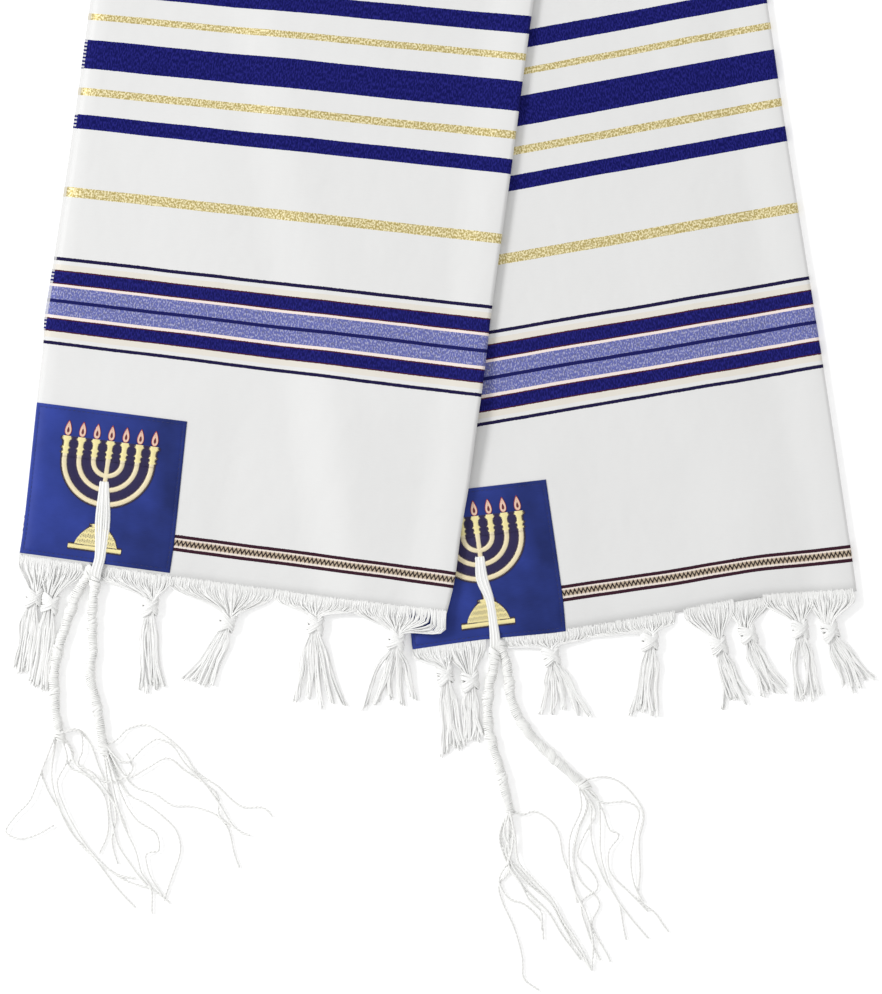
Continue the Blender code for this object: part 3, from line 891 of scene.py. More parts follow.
@dataclass(frozen=True)
class FloorFinish:
    """The plain pale floor."""

    colour: Colour = (0.93, 0.93, 0.93)
    bright: Colour = (0.95, 0.95, 0.95)
    grain_scale: float = 40.0
    roughness: float = 0.9
    glow: float = 0.2

    def material(self) -> bpy.types.Material:
        """Make the material.

        Returns:
            The material.
        """
        nodes = Nodes("studio_floor")
        grain = nodes.noise(nodes.object_point(), self.grain_scale, 2.0)
        nodes.feed("Base Color", nodes.mix(grain, self.colour, self.bright))
        nodes.feed("Roughness", self.roughness - 0.05 * grain)
        nodes.feed("Emission Color", (1.0, 1.0, 1.0, 1.0))
        nodes.feed("Emission Strength", self.glow)
        return nodes.material


WHITE_YARN = YarnFinish("white_yarn", (0.90, 0.90, 0.89), (0.80, 0.80, 0.79), 0.85)
CORD_YARN = YarnFinish("cord_yarn", (0.90, 0.90, 0.88), (0.80, 0.80, 0.79), 0.8)
GOLD_THREAD = YarnFinish("gold_thread", (0.95, 0.87, 0.50), (0.80, 0.70, 0.34), 0.5, 0.1)
CREAM_THREAD = YarnFinish("cream_thread", (0.90, 0.82, 0.60), (0.78, 0.68, 0.45), 0.5, 0.1)
# Dark maroon thread of the lampstand's outline, which is partly a real outline and partly painted shade.
MAROON_OUTLINE_SHADE_THREAD = YarnFinish("maroon_outline_shade_thread", (0.035, 0.012, 0.035), (0.02, 0.008, 0.028), 0.7)
# Navy thread of the lampstand's ground, which is painted shade between its strokes.
SHADE_NAVY_THREAD = YarnFinish("painted_shade_navy_thread", (0.018, 0.010, 0.085), (0.012, 0.007, 0.060), 0.7)
DARK_RED_THREAD = YarnFinish("dark_red_thread", (0.16, 0.01, 0.02), (0.1, 0.008, 0.014), 0.6)
RED_THREAD = YarnFinish("red_thread", (0.42, 0.03, 0.03), (0.28, 0.02, 0.02), 0.6)
FLAME_THREAD = YarnFinish("flame_thread", (0.82, 0.62, 0.50), (0.72, 0.48, 0.36), 0.6)
BLUE_THREAD = YarnFinish("blue_thread", (0.012, 0.018, 0.13), (0.008, 0.012, 0.09), 0.6)


def new_object(name: str, data: bpy.types.ID, material: bpy.types.Material) -> bpy.types.Object:
    """Link one object to the scene.

    Args:
        name: Its name.
        data: Its mesh or curve.
        material: Its finish.

    Returns:
        The object.
    """
    data.materials.append(material)
    item = bpy.data.objects.new(name, data)
    bpy.context.scene.collection.objects.link(item)
    return item


def make_active(item: bpy.types.Object) -> None:
    """Select one object alone and make it active.

    Args:
        item: The object.
    """
    bpy.ops.object.select_all(action="DESELECT")
    item.select_set(True)
    bpy.context.view_layer.objects.active = item


def thread_piece(name: str, lines: list[list[Point]], radius: float, material: bpy.types.Material,
                 swells: list[list[float]] | None = None, resolution: int = 0) -> bpy.types.Object:
    """Many threads as one mesh, drawn as curves with a round section.

    Args:
        name: The piece's name.
        lines: Points of each thread, in plan millimetres.
        radius: Radius of a thread in millimetres.
        material: Its finish.
        swells: Thickness factor at each point.
        resolution: How round the section is.

    Returns:
        The mesh object.
    """
    curve = bpy.data.curves.new(name, "CURVE")
    curve.dimensions = "3D"
    curve.bevel_depth = radius * MM
    curve.bevel_resolution = resolution
    curve.use_fill_caps = True
    for number, line in enumerate(lines):
        spline = curve.splines.new("POLY")
        spline.points.add(len(line) - 1)
        flat = [c for point in line for c in (*placed(*point), 1.0)]
        spline.points.foreach_set("co", flat)
        spline.use_smooth = True
        if swells:
            spline.points.foreach_set("radius", swells[number])
    item = new_object(name, curve, material)
    make_active(item)
    bpy.ops.object.convert(target="MESH")
    return bpy.context.view_layer.objects.active


def finish_piece(item: bpy.types.Object, slot: Slot, *nodes: str) -> None:
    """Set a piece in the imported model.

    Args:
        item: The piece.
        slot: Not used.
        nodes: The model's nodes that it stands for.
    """
    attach(item, "root")
    if nodes:
        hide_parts(*nodes)
    LOG.info("%s: %d faces", item.name, len(item.data.polygons))


@dataclass(frozen=True)
class ShawlCloth:
    """The whole doubled cloth as one thin sheet, from one hem over the neck to the other."""

    wall: float = 0.5
    layer_columns: int = 68
    crease_columns: int = 12
    flat_rings: int = 130
    neck_rings: int = 10
    roll_reach: float = 8.0
    selvedge_peek: float = 2.0
    peek_start: float = 130.0
    peek_ramp: float = 30.0
    flat_size: tuple[float, float] = (0.55, 1.80)

    def profile(self, arm: Arm, along: float) -> list[tuple[float, float, float]]:
        """The middle of the wall across one row, from selvedge to selvedge.

        The neck roll turns the doubled cloth over, so the upper arm's row runs the other way.

        Args:
            arm: The arm.
            along: Distance from the hem.

        Returns:
            Distance across, height, and distance along the cloth from the top selvedge.
        """
        width = arm.width(along)
        radius = 0.5 * (SIZES.doubled + arm.puff(along))
        inset = 0.5 * self.wall
        flat = width - radius
        steps = [flat * i / self.layer_columns for i in range(self.layer_columns + 1)]
        peek = self.selvedge_peek * ease((along - self.peek_start) / self.peek_ramp) * arm.is_upper
        low = [(x - peek * (1.0 - x / flat), arm.base(x, along) + inset) for x in steps]
        high = [(x, arm.top(x, along) - inset) for x in steps]
        middle = 0.5 * (low[-1][1] + high[-1][1])
        half = 0.5 * (high[-1][1] - low[-1][1])
        turn = []
        for index in range(1, self.crease_columns):
            angle = math.pi * (index / self.crease_columns - 0.5)
            turn.append((flat + (radius - inset) * math.cos(angle), middle + half * math.sin(angle)))
        points = low + turn + high[::-1]
        arc = math.pi * radius
        reach = [flat + arc + (flat - x) for x in steps]
        reach += [flat + arc * (1.0 - i / self.crease_columns) for i in range(1, self.crease_columns)]
        reach += steps[::-1]
        if arm.is_upper:
            reach = [2.0 * flat + arc - r for r in reach]
            points, reach = points[::-1], reach[::-1]
        return [(x, z, r) for (x, z), r in zip(points, reach)]

    def arm_rings(self, arm: Arm) -> list[tuple[list[Point], list[tuple[float, float]]]]:
        """Rings of one arm from its hem to the top of the neck roll.

        Args:
            arm: The arm.

        Returns:
            For each ring its points and their places on the flat cloth.
        """
        rings = []
        for index in range(self.flat_rings + 1):
            along = SIZES.arm_length * index / self.flat_rings
            profile = self.profile(arm, along)
            points = [(*arm.plan(x, along), z) for x, z, _ in profile]
            rings.append((points, [(r * MM, along * MM) for _, _, r in profile]))
        left = arm.ends(SIZES.arm_length)[0]
        profile = self.profile(arm, SIZES.arm_length)
        for index in range(1, self.neck_rings + 1):
            turn = 0.5 * math.pi * (index / self.neck_rings - 1.0)
            points = []
            for x, z, _ in profile:
                radius = z - SIZES.neck_axis_height if arm.is_upper else SIZES.neck_axis_height - z
                side = -1.0 if arm.is_upper else 1.0
                height = SIZES.neck_axis_height + side * radius * math.sin(turn)
                points.append((left.x + x, SIZES.neck_axis_y + radius * math.cos(turn), height))
            along = SIZES.arm_length + self.roll_reach * index / self.neck_rings
            rings.append((points, [(r * MM, along * MM) for _, _, r in profile]))
        return rings

    def build(self, material: bpy.types.Material) -> bpy.types.Object:
        """Make the cloth.

        Args:
            material: Its finish.

        Returns:
            The cloth.
        """
        lower = self.arm_rings(LOWER_ARM)
        upper = self.arm_rings(UPPER_ARM)
        rings = lower + upper[-2::-1]
        count = len(rings[0][0])
        verts = [placed(*point) for points, _ in rings for point in points]
        places = [place for _, flat in rings for place in flat]
        faces = []
        for ring in range(len(rings) - 1):
            for column in range(count - 1):
                first = ring * count + column
                faces.append((first, first + 1, first + count + 1, first + count))
        mesh = bpy.data.meshes.new("shawl_cloth")
        mesh.from_pydata(verts, [], faces)
        layer = mesh.uv_layers.new(name="flat_cloth")
        loops = [places[loop.vertex_index] for loop in mesh.loops]
        layer.data.foreach_set("uv", [c for place in loops for c in place])
        mesh.shade_smooth()
        item = new_object("shawl_cloth", mesh, material)
        make_active(item)
        wall = item.modifiers.new("wall", "SOLIDIFY")
        wall.thickness = self.wall * MM
        wall.offset = 0.0
        wall.use_even_offset = True
        bpy.ops.object.modifier_apply(modifier=wall.name)
        return item


@dataclass(frozen=True)
class CornerPiece:
    """A satin square sewn on a corner, its edges turned under and topstitched."""

    arm: Arm
    layer: Layer
    hem_inset: float
    width: float
    skew: float
    selvedge_inset: float = 0.2
    length: float = 97.4
    thickness: float = 0.75
    edge_round: float = 1.1
    lift: float = 0.12
    seam_dip: float = 0.22
    seam_half: float = 0.5
    pillow: float = 0.12
    pillow_inset: float = 10.0
    middle_steps: int = 28
    stitch_inset: float = 2.3
    stitch_length: float = 2.1
    stitch_gap: float = 0.9
    stitch_radius: float = 0.16

    EDGE_STEPS = (0.0, 0.1, 0.3, 0.6, 1.1, 1.8, 2.3, 2.8, 4.0, 6.0)
    STITCH_BOW = ((0.0, -0.15), (0.2, 0.12), (0.5, 0.18), (0.8, 0.12), (1.0, -0.15))

    @property
    def node(self) -> str:
        """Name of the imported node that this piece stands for."""
        side = "front" if self.layer is Layer.TOP else "back"
        return f"corner_{self.arm.name}_{side}"

    def steps(self, length: float) -> list[float]:
        """Grid lines across the piece, closer together at its edges.

        Args:
            length: The piece's side.

        Returns:
            The distances.
        """
        near = list(self.EDGE_STEPS)
        start = near[-1]
        span = length - 2.0 * start
        middle = [start + span * i / self.middle_steps for i in range(1, self.middle_steps)]
        return near + middle + [length - step for step in reversed(near)]

    def height(self, across: float, along: float) -> float:
        """Height of the outer face above or below the cloth.

        Args:
            across: Distance from the selvedge.
            along: Distance from the hem.

        Returns:
            The distance from the cloth's face.
        """
        inward, up = across - self.selvedge_inset, along - self.hem_inset
        edge = max(0.0, min(inward, up, self.width - inward, self.length - up))
        part = min(1.0, max(0.0, edge / self.edge_round))
        rounded = self.thickness * math.sqrt(1.0 - (1.0 - part) ** 2)
        seam = math.exp(-((edge - self.stitch_inset) / self.seam_half) ** 2)
        swell = math.sin(0.21 * across + 0.4) * math.sin(0.17 * along + 1.0)
        pillow = self.pillow * swell * ease(edge / self.pillow_inset)
        return self.lift + rounded - self.seam_dip * seam + pillow

    def level(self, across: float, along: float) -> float:
        """Distance from the hem on the cloth, as the piece is sewn on slightly out of square."""
        return along + self.skew * (1.0 - across / self.width) * along / self.length

    def face(self, across: float, along: float, rise: float = 0.0) -> Point:
        """A point on the outer face, in plan millimetres.

        Args:
            across: Distance from the selvedge.
            along: Distance from the hem.
            rise: Distance out of the face.

        Returns:
            The point.
        """
        level = self.level(across, along)
        spot = self.arm.plan(across, level)
        height = self.height(across, along) + rise
        if self.layer is Layer.TOP:
            return (spot.x, spot.y, self.arm.top(across, level) + height)
        return (spot.x, spot.y, self.arm.base(across, level) - height)

    def build(self, material: bpy.types.Material) -> bpy.types.Object:
        """Make the satin piece.

        Args:
            material: Its finish.

        Returns:
            The object.
        """
        columns = [self.selvedge_inset + step for step in self.steps(self.width)]
        rows = [self.hem_inset + step for step in self.steps(self.length)]
        count = len(columns)
        side = 1.0 if self.layer is Layer.TOP else -1.0
        outer = [self.face(x, y) for y in rows for x in columns]
        inner = []
        for y in rows:
            for x in columns:
                level = self.level(x, y)
                spot = self.arm.plan(x, level)
                cloth = self.arm.top(x, level) if self.layer is Layer.TOP else self.arm.base(x, level)
                inner.append((spot.x, spot.y, cloth + side * 0.5 * self.lift))
        verts = [placed(*point) for point in outer + inner]
        places = [(x * MM, y * MM) for _ in (0, 1) for y in rows for x in columns]
        offset = len(outer)
        faces = []
        for row in range(len(rows) - 1):
            for column in range(count - 1):
                a = row * count + column
                faces.append((a, a + 1, a + count + 1, a + count))
                faces.append((a + offset, a + count + offset, a + count + 1 + offset, a + 1 + offset))
        rim = list(range(count)) + [r * count + count - 1 for r in range(1, len(rows))]
        rim += [(len(rows) - 1) * count + c for c in range(count - 2, -1, -1)]
        rim += [r * count for r in range(len(rows) - 2, 0, -1)]
        for first, second in zip(rim, rim[1:] + rim[:1]):
            faces.append((second, first, first + offset, second + offset))
        mesh = bpy.data.meshes.new(self.node)
        mesh.from_pydata(verts, [], faces)
        layer = mesh.uv_layers.new(name="flat_satin")
        layer.data.foreach_set("uv", [c for loop in mesh.loops for c in places[loop.vertex_index]])
        mesh.shade_smooth()
        item = new_object(self.node + "_satin", mesh, material)
        make_active(item)
        bpy.ops.object.mode_set(mode="EDIT")
        bpy.ops.mesh.select_all(action="SELECT")
        bpy.ops.mesh.normals_make_consistent(inside=False)
        bpy.ops.object.mode_set(mode="OBJECT")
        return item

    def topstitching(self, material: bpy.types.Material) -> bpy.types.Object:
        """Make the row of stitches inside the four edges.

        Args:
            material: Its finish.

        Returns:
            The object.
        """
        left = self.selvedge_inset + self.stitch_inset
        low = self.hem_inset + self.stitch_inset
        wide = self.width - 2.0 * self.stitch_inset
        tall = self.length - 2.0 * self.stitch_inset
        pitch = self.stitch_length + self.stitch_gap
        lines = []
        sides = (
            (left, low, 1.0, 0.0, wide),
            (left, low + tall, 1.0, 0.0, wide),
            (left, low, 0.0, 1.0, tall),
            (left + wide, low, 0.0, 1.0, tall),
        )
        for start_x, start_y, way_x, way_y, length in sides:
            for number in range(int(length / pitch)):
                line = []
                for part, rise in self.STITCH_BOW:
                    here = number * pitch + part * self.stitch_length
                    line.append(self.face(start_x + way_x * here, start_y + way_y * here, rise))
                lines.append(line)
        return thread_piece(self.node + "_topstitching", lines, self.stitch_radius, material)


@dataclass(frozen=True)
class Menorah:
    """A plain seven-branched lampstand in satin stitch, drawn from arcs and named sizes."""

    piece: CornerPiece
    centre_across: float
    foot_along: float
    lean: float
    candle_spacing: float = 9.25
    arc_centre: float = 57.7
    stroke_half: float = 1.75
    bar_half: float = 17.0
    bar_height: float = 2.8
    dome_half: float = 13.5
    dome_height: float = 14.8
    collar_half: float = 5.2
    dome_crop: float = 12.0
    dome_power: float = 1.25
    dome_fullness: float = 0.62
    fill_stitch: float = 3.6
    shortest_stitch: float = 0.4
    collar_height: float = 2.0
    candle_foot: float = 59.6
    candle_height: float = 11.6
    flame_height: float = 9.7
    flame_half: float = 1.8
    pitch: float = 0.42
    thread_radius: float = 0.26
    outline_radius: float = 0.42
    outline_and_shade_reach: float = 0.9
    foot_outline_reach: float = 0.75
    painted_shade_radius: float = 0.36
    painted_shade_pitch: float = 0.6
    painted_shade_reach: float = 0.2
    flame_radius: float = 0.42
    flame_edge_radius: float = 0.3
    flame_heart_radius: float = 0.34
    crown: float = 0.5
    flat_crown: float = 0.1

    STITCH_BOW = ((0.0, -0.1), (0.16, 0.6), (0.5, 1.0), (0.84, 0.6), (1.0, -0.1))
    FLAME_FILLS = (0.9, 0.68, 0.46)
    FLAME_HEARTS = (0.34, 0.2, 0.1)
    CANDLE_OUTLINE = ((0.0, 1.9), (0.9, 2.7), (1.7, 1.9), (3.0, 2.0), (4.1, 2.9), (5.2, 1.9),
                      (8.6, 2.2), (9.4, 3.3), (10.8, 3.1), (11.6, 2.6))

    def spot(self, x: float, y: float, rise: float) -> Point:
        """A point of the drawing on the satin."""
        across = self.centre_across + x + self.lean * y
        return self.piece.face(across, self.foot_along + y, rise)

    def stitch(self, start: tuple[float, float], end: tuple[float, float], spread: float) -> list[Point]:
        """One stitch between two points, bowed over its padding.

        Args:
            start: Where it comes up.
            end: Where it goes down.
            spread: How far it reaches past both points.

        Returns:
            The stitch's points.
        """
        a, b = Vector(start), Vector(end)
        way = (b - a).normalized() * spread
        a, b = a - way, b + way
        crown = self.flat_crown if spread > 0.0 else self.crown
        points = []
        for part, rise in self.STITCH_BOW:
            point = a.lerp(b, part)
            points.append(self.spot(point.x, point.y, rise * crown))
        return points

    def arc(self, inner: float, outer: float, count: int, spread: float) -> list[list[Point]]:
        """Stitches across the lower half of a ring.

        Args:
            inner: Radius at which a stitch comes up.
            outer: Radius at which it goes down.
            count: Number of steps between the first stitch and the last.
            spread: How far each stitch reaches past both radii.

        Returns:
            The stitches.
        """
        lines = []
        for index in range(count + 1):
            angle = math.pi * index / count
            way_x, way_y = math.cos(angle), -math.sin(angle)
            start = (inner * way_x, self.arc_centre + inner * way_y)
            end = (outer * way_x, self.arc_centre + outer * way_y)
            lines.append(self.stitch(start, end, spread))
        return lines

    def column(self, centre: float, half: float, heights: tuple[float, float], pitch: float,
               spread: float) -> list[list[Point]]:
        """Level stitches above each other.

        Args:
            centre: Distance of their middle from the stem.
            half: Half their length.
            heights: Where the column starts and ends.
            pitch: Distance from one stitch to the next.
            spread: How far each stitch reaches past its length.

        Returns:
            The stitches.
        """
        lines = []
        height = heights[0]
        while height < heights[1]:
            lines.append(self.stitch((centre - half, height), (centre + half, height), spread))
            height += pitch
        return lines

    def branches(self, spread: float) -> list[list[Point]]:
        """Stitches across the stem and the three pairs of branches.

        Args:
            spread: How far each stitch reaches past the stroke.

        Returns:
            The stitches.
        """
        lines = []
        half = self.stroke_half
        for arm_number in (1, 2, 3):
            radius = self.candle_spacing * arm_number
            count = round(math.pi * radius / self.pitch)
            lines += self.arc(radius - half, radius + half, count, spread)
            for side in (-radius, radius):
                lines += self.column(side, half, (self.arc_centre, self.candle_foot), self.pitch, spread)
        stem = (self.bar_height + self.dome_crop, self.candle_foot)
        return lines + self.column(0.0, half, stem, self.pitch, spread)

    def candles(self, spread: float) -> list[list[Point]]:
        """Stitches across the seven candles.

        Args:
            spread: How far each stitch reaches past the outline.

        Returns:
            The stitches.
        """
        lines = []
        for number in range(-3, 4):
            centre = number * self.candle_spacing
            height = 0.0
            while height <= self.candle_height:
                half = curve_through(self.CANDLE_OUTLINE, height)[0]
                level = self.candle_foot + height
                lines.append(self.stitch((centre - half, level), (centre + half, level), spread))
                height += self.pitch
        return lines

    def ground(self) -> list[list[Point]]:
        """Flat dark stitches of painted shade that fill the gaps between the branches and between the
        candles, where shadow falls.

        Returns:
            The stitches.
        """
        lines = []
        gap = self.candle_spacing - 2.0 * self.stroke_half
        for arm_number in (1, 2, 3):
            outer = self.candle_spacing * arm_number - self.stroke_half
            count = round(math.pi * outer / self.painted_shade_pitch)
            lines += self.arc(outer - gap, outer, count, self.painted_shade_reach)
        heights = (self.arc_centre, self.candle_foot + self.candle_height)
        for number in range(-3, 3):
            centre = (number + 0.5) * self.candle_spacing
            lines += self.column(centre, 0.5 * gap, heights, self.painted_shade_pitch, self.painted_shade_reach)
        return lines

    def foot(self, spread: float) -> list[list[Point]]:
        """Stitches of the domed foot, its bar and its collar.

        Args:
            spread: How far each stitch reaches past the outline.

        Returns:
            The stitches.
        """
        lines = []
        x = -self.bar_half
        while x <= self.bar_half:
            lines.append(self.stitch((x, 0.0), (x, self.bar_height), spread))
            x += self.pitch
        top = self.bar_height + self.dome_crop
        collar = self.column(0.0, self.collar_half, (top, top + self.collar_height), self.pitch, spread)
        return lines + self.dome(spread) + collar

    def dome(self, spread: float) -> list[list[Point]]:
        """Upright filling stitches of the dome, staggered from one column to the next.

        Args:
            spread: How far each stitch reaches past its ends.

        Returns:
            The stitches.
        """
        lines = []
        x = -self.dome_half
        number = 0
        while x <= self.dome_half:
            inside = max(0.0, 1.0 - (abs(x) / self.dome_half) ** self.dome_power)
            rise = min(self.dome_crop, self.dome_height * inside ** self.dome_fullness)
            low = 0.0
            reach = self.fill_stitch * (0.35 + 0.65 * ((number * 5 % 8) / 8.0))
            while low < rise - self.shortest_stitch:
                high = min(rise, low + reach)
                start = (x, self.bar_height + low)
                lines.append(self.stitch(start, (x + 0.1, self.bar_height + high), spread))
                low = high
                reach = self.fill_stitch
            number += 1
            x += self.pitch
        return lines

    def teardrop(self, centre: float, shrink: float, rise: float, count: int = 22) -> list[Point]:
        """Outline of a flame.

        Args:
            centre: Distance of the flame from the stem.
            shrink: Size as a share of the whole flame.
            rise: Distance out of the satin.
            count: Number of points.

        Returns:
            The closed outline.
        """
        base = self.candle_foot + self.candle_height + 0.3
        points = []
        for index in range(count + 1):
            angle = 2.0 * math.pi * index / count
            level = 0.5 * (1.0 - math.cos(angle))
            half = self.flame_half * math.sin(angle) * (1.0 - level) ** 0.55 * 1.45
            height = 0.38 * self.flame_height * (1.0 - shrink) * 0.8 + level * self.flame_height * shrink
            points.append(self.spot(centre + half * shrink, base + height, rise))
        return points

    def flames(self) -> tuple[list[list[Point]], list[list[Point]], list[list[Point]]]:
        """Threads of the seven flames.

        Returns:
            The filling, the red outlines and the dark hearts.
        """
        filling, outlines, hearts = [], [], []
        for number in range(-3, 4):
            centre = number * self.candle_spacing
            filling += [self.teardrop(centre, shrink, 0.12) for shrink in self.FLAME_FILLS]
            outlines.append(self.teardrop(centre, 1.0, 0.2))
            hearts += [self.teardrop(centre, shrink, 0.3) for shrink in self.FLAME_HEARTS]
        return filling, outlines, hearts

    def build(self, finishes: dict[str, bpy.types.Material]) -> list[bpy.types.Object]:
        """Embroider the lampstand.

        Args:
            finishes: Materials by name.

        Returns:
            The embroidery's pieces.
        """
        name = self.piece.node
        filling, outlines, hearts = self.flames()
        # The maroon outline is partly a real outline and partly painted shade: round the branches and
        # candles it reaches wider than a hairline, standing in for the shade beside the gold strokes.
        reach = self.outline_and_shade_reach
        outline = self.branches(reach)[::2] + self.candles(reach)[::2]
        outline += self.foot(self.foot_outline_reach)[::2]
        gold = self.candles(0.0) + self.foot(0.0)
        parts = (
            # The navy ground is painted shade: dark stitches laid in the gaps between the branches and the
            # candles, where shadow falls.
            ("ground", self.ground(), self.painted_shade_radius, "navy"),
            ("outline", outline, self.outline_radius, "maroon"),
            ("branches", self.branches(0.0), self.thread_radius, "cream"),
            ("lampstand", gold, self.thread_radius, "gold"),
            ("flames", filling, self.flame_radius, "flame"),
            ("flame_edges", outlines, self.flame_edge_radius, "red"),
            ("flame_hearts", hearts, self.flame_heart_radius, "dark_red"),
        )
        return [thread_piece(f"{name}_{part}", lines, radius, finishes[colour])
                for part, lines, radius, colour in parts]


def spline_points(anchors: list[Point], count: int) -> list[Point]:
    """Evenly spaced points on a smooth line through anchors.

    Args:
        anchors: The anchors.
        count: How many points to return.

    Returns:
        The points.
    """
    reach = [0.0]
    for first, second in zip(anchors, anchors[1:]):
        reach.append(reach[-1] + max(0.01, math.dist(first, second)))
    table = tuple((r, *point) for r, point in zip(reach, anchors))
    return [tuple(curve_through(table, reach[-1] * i / (count - 1))) for i in range(count)]


class FringeRow(NamedTuple):
    """One fringe bundle, measured along the hem from the selvedge and out of the hem."""

    name: str
    layer: Layer
    root_start: float
    root_end: float
    knot_along: float
    knot_out: float
    knot_height: float
    tip_start: tuple[float, float]
    tip_end: tuple[float, float]


UPPER_FRINGE: tuple[FringeRow, ...] = (
    FringeRow("fringe_upper_1", Layer.TOP, 0.4, 15.6, 12.5, 23.7, 3.6, (8.0, 73.0), (15.0, 76.0)),
    FringeRow("fringe_upper_2", Layer.TOP, 17.0, 36.6, 23.6, 26.3, 3.6, (20.2, 79.0), (25.6, 81.0)),
    FringeRow("fringe_upper_3", Layer.TOP, 55.6, 94.0, 86.7, 19.6, 3.6, (89.0, 74.0), (99.5, 71.5)),
    FringeRow("fringe_upper_4", Layer.TOP, 103.0, 160.0, 136.6, 23.4, 3.6, (117.0, 62.0), (130.0, 65.5)),
    FringeRow("fringe_upper_5", Layer.TOP, 169.0, 214.0, 192.3, 17.4, 3.6, (187.0, 67.0), (218.0, 70.0)),
    FringeRow("fringe_upper_6", Layer.TOP, 219.4, 270.0, 244.7, 20.8, 7.4, (229.0, 66.0), (262.0, 58.0)),
)
LOWER_FRINGE: tuple[FringeRow, ...] = (
    FringeRow("fringe_lower_1", Layer.TOP, 0.8, 21.2, 18.5, 18.5, 3.6, (12.5, 68.5), (22.5, 68.0)),
    FringeRow("fringe_lower_2", Layer.TOP, 24.2, 43.6, 34.0, 24.4, 3.6, (27.5, 65.0), (34.0, 62.5)),
    FringeRow("fringe_lower_3", Layer.TOP, 62.0, 110.4, 87.1, 16.0, 3.6, (76.0, 50.0), (107.0, 58.5)),
    FringeRow("fringe_lower_4", Layer.TOP, 113.2, 164.8, 150.3, 15.2, 3.6, (134.0, 61.0), (147.0, 60.5)),
    FringeRow("fringe_lower_5", Layer.TOP, 178.6, 203.0, 193.5, 24.0, 3.6, (193.0, 63.5), (208.0, 61.5)),
    FringeRow("fringe_lower_6", Layer.UNDER, 205.6, 226.4, 213.0, 19.7, 3.6, (219.0, 62.0), (231.0, 58.5)),
    FringeRow("fringe_lower_7", Layer.TOP, 230.0, 254.6, 246.0, 21.2, 3.6, (238.5, 64.5), (251.0, 65.5)),
    FringeRow("fringe_lower_8", Layer.TOP, 257.4, 281.6, 265.0, 24.5, 3.6, (271.0, 64.0), (287.0, 59.6)),
)


@dataclass(frozen=True)
class Tie:
    """Where a fringe bundle is tied, and how it lies there."""

    spot: Vector
    height: float
    way: Vector
    side: Vector
    tips: tuple[Vector, Vector]


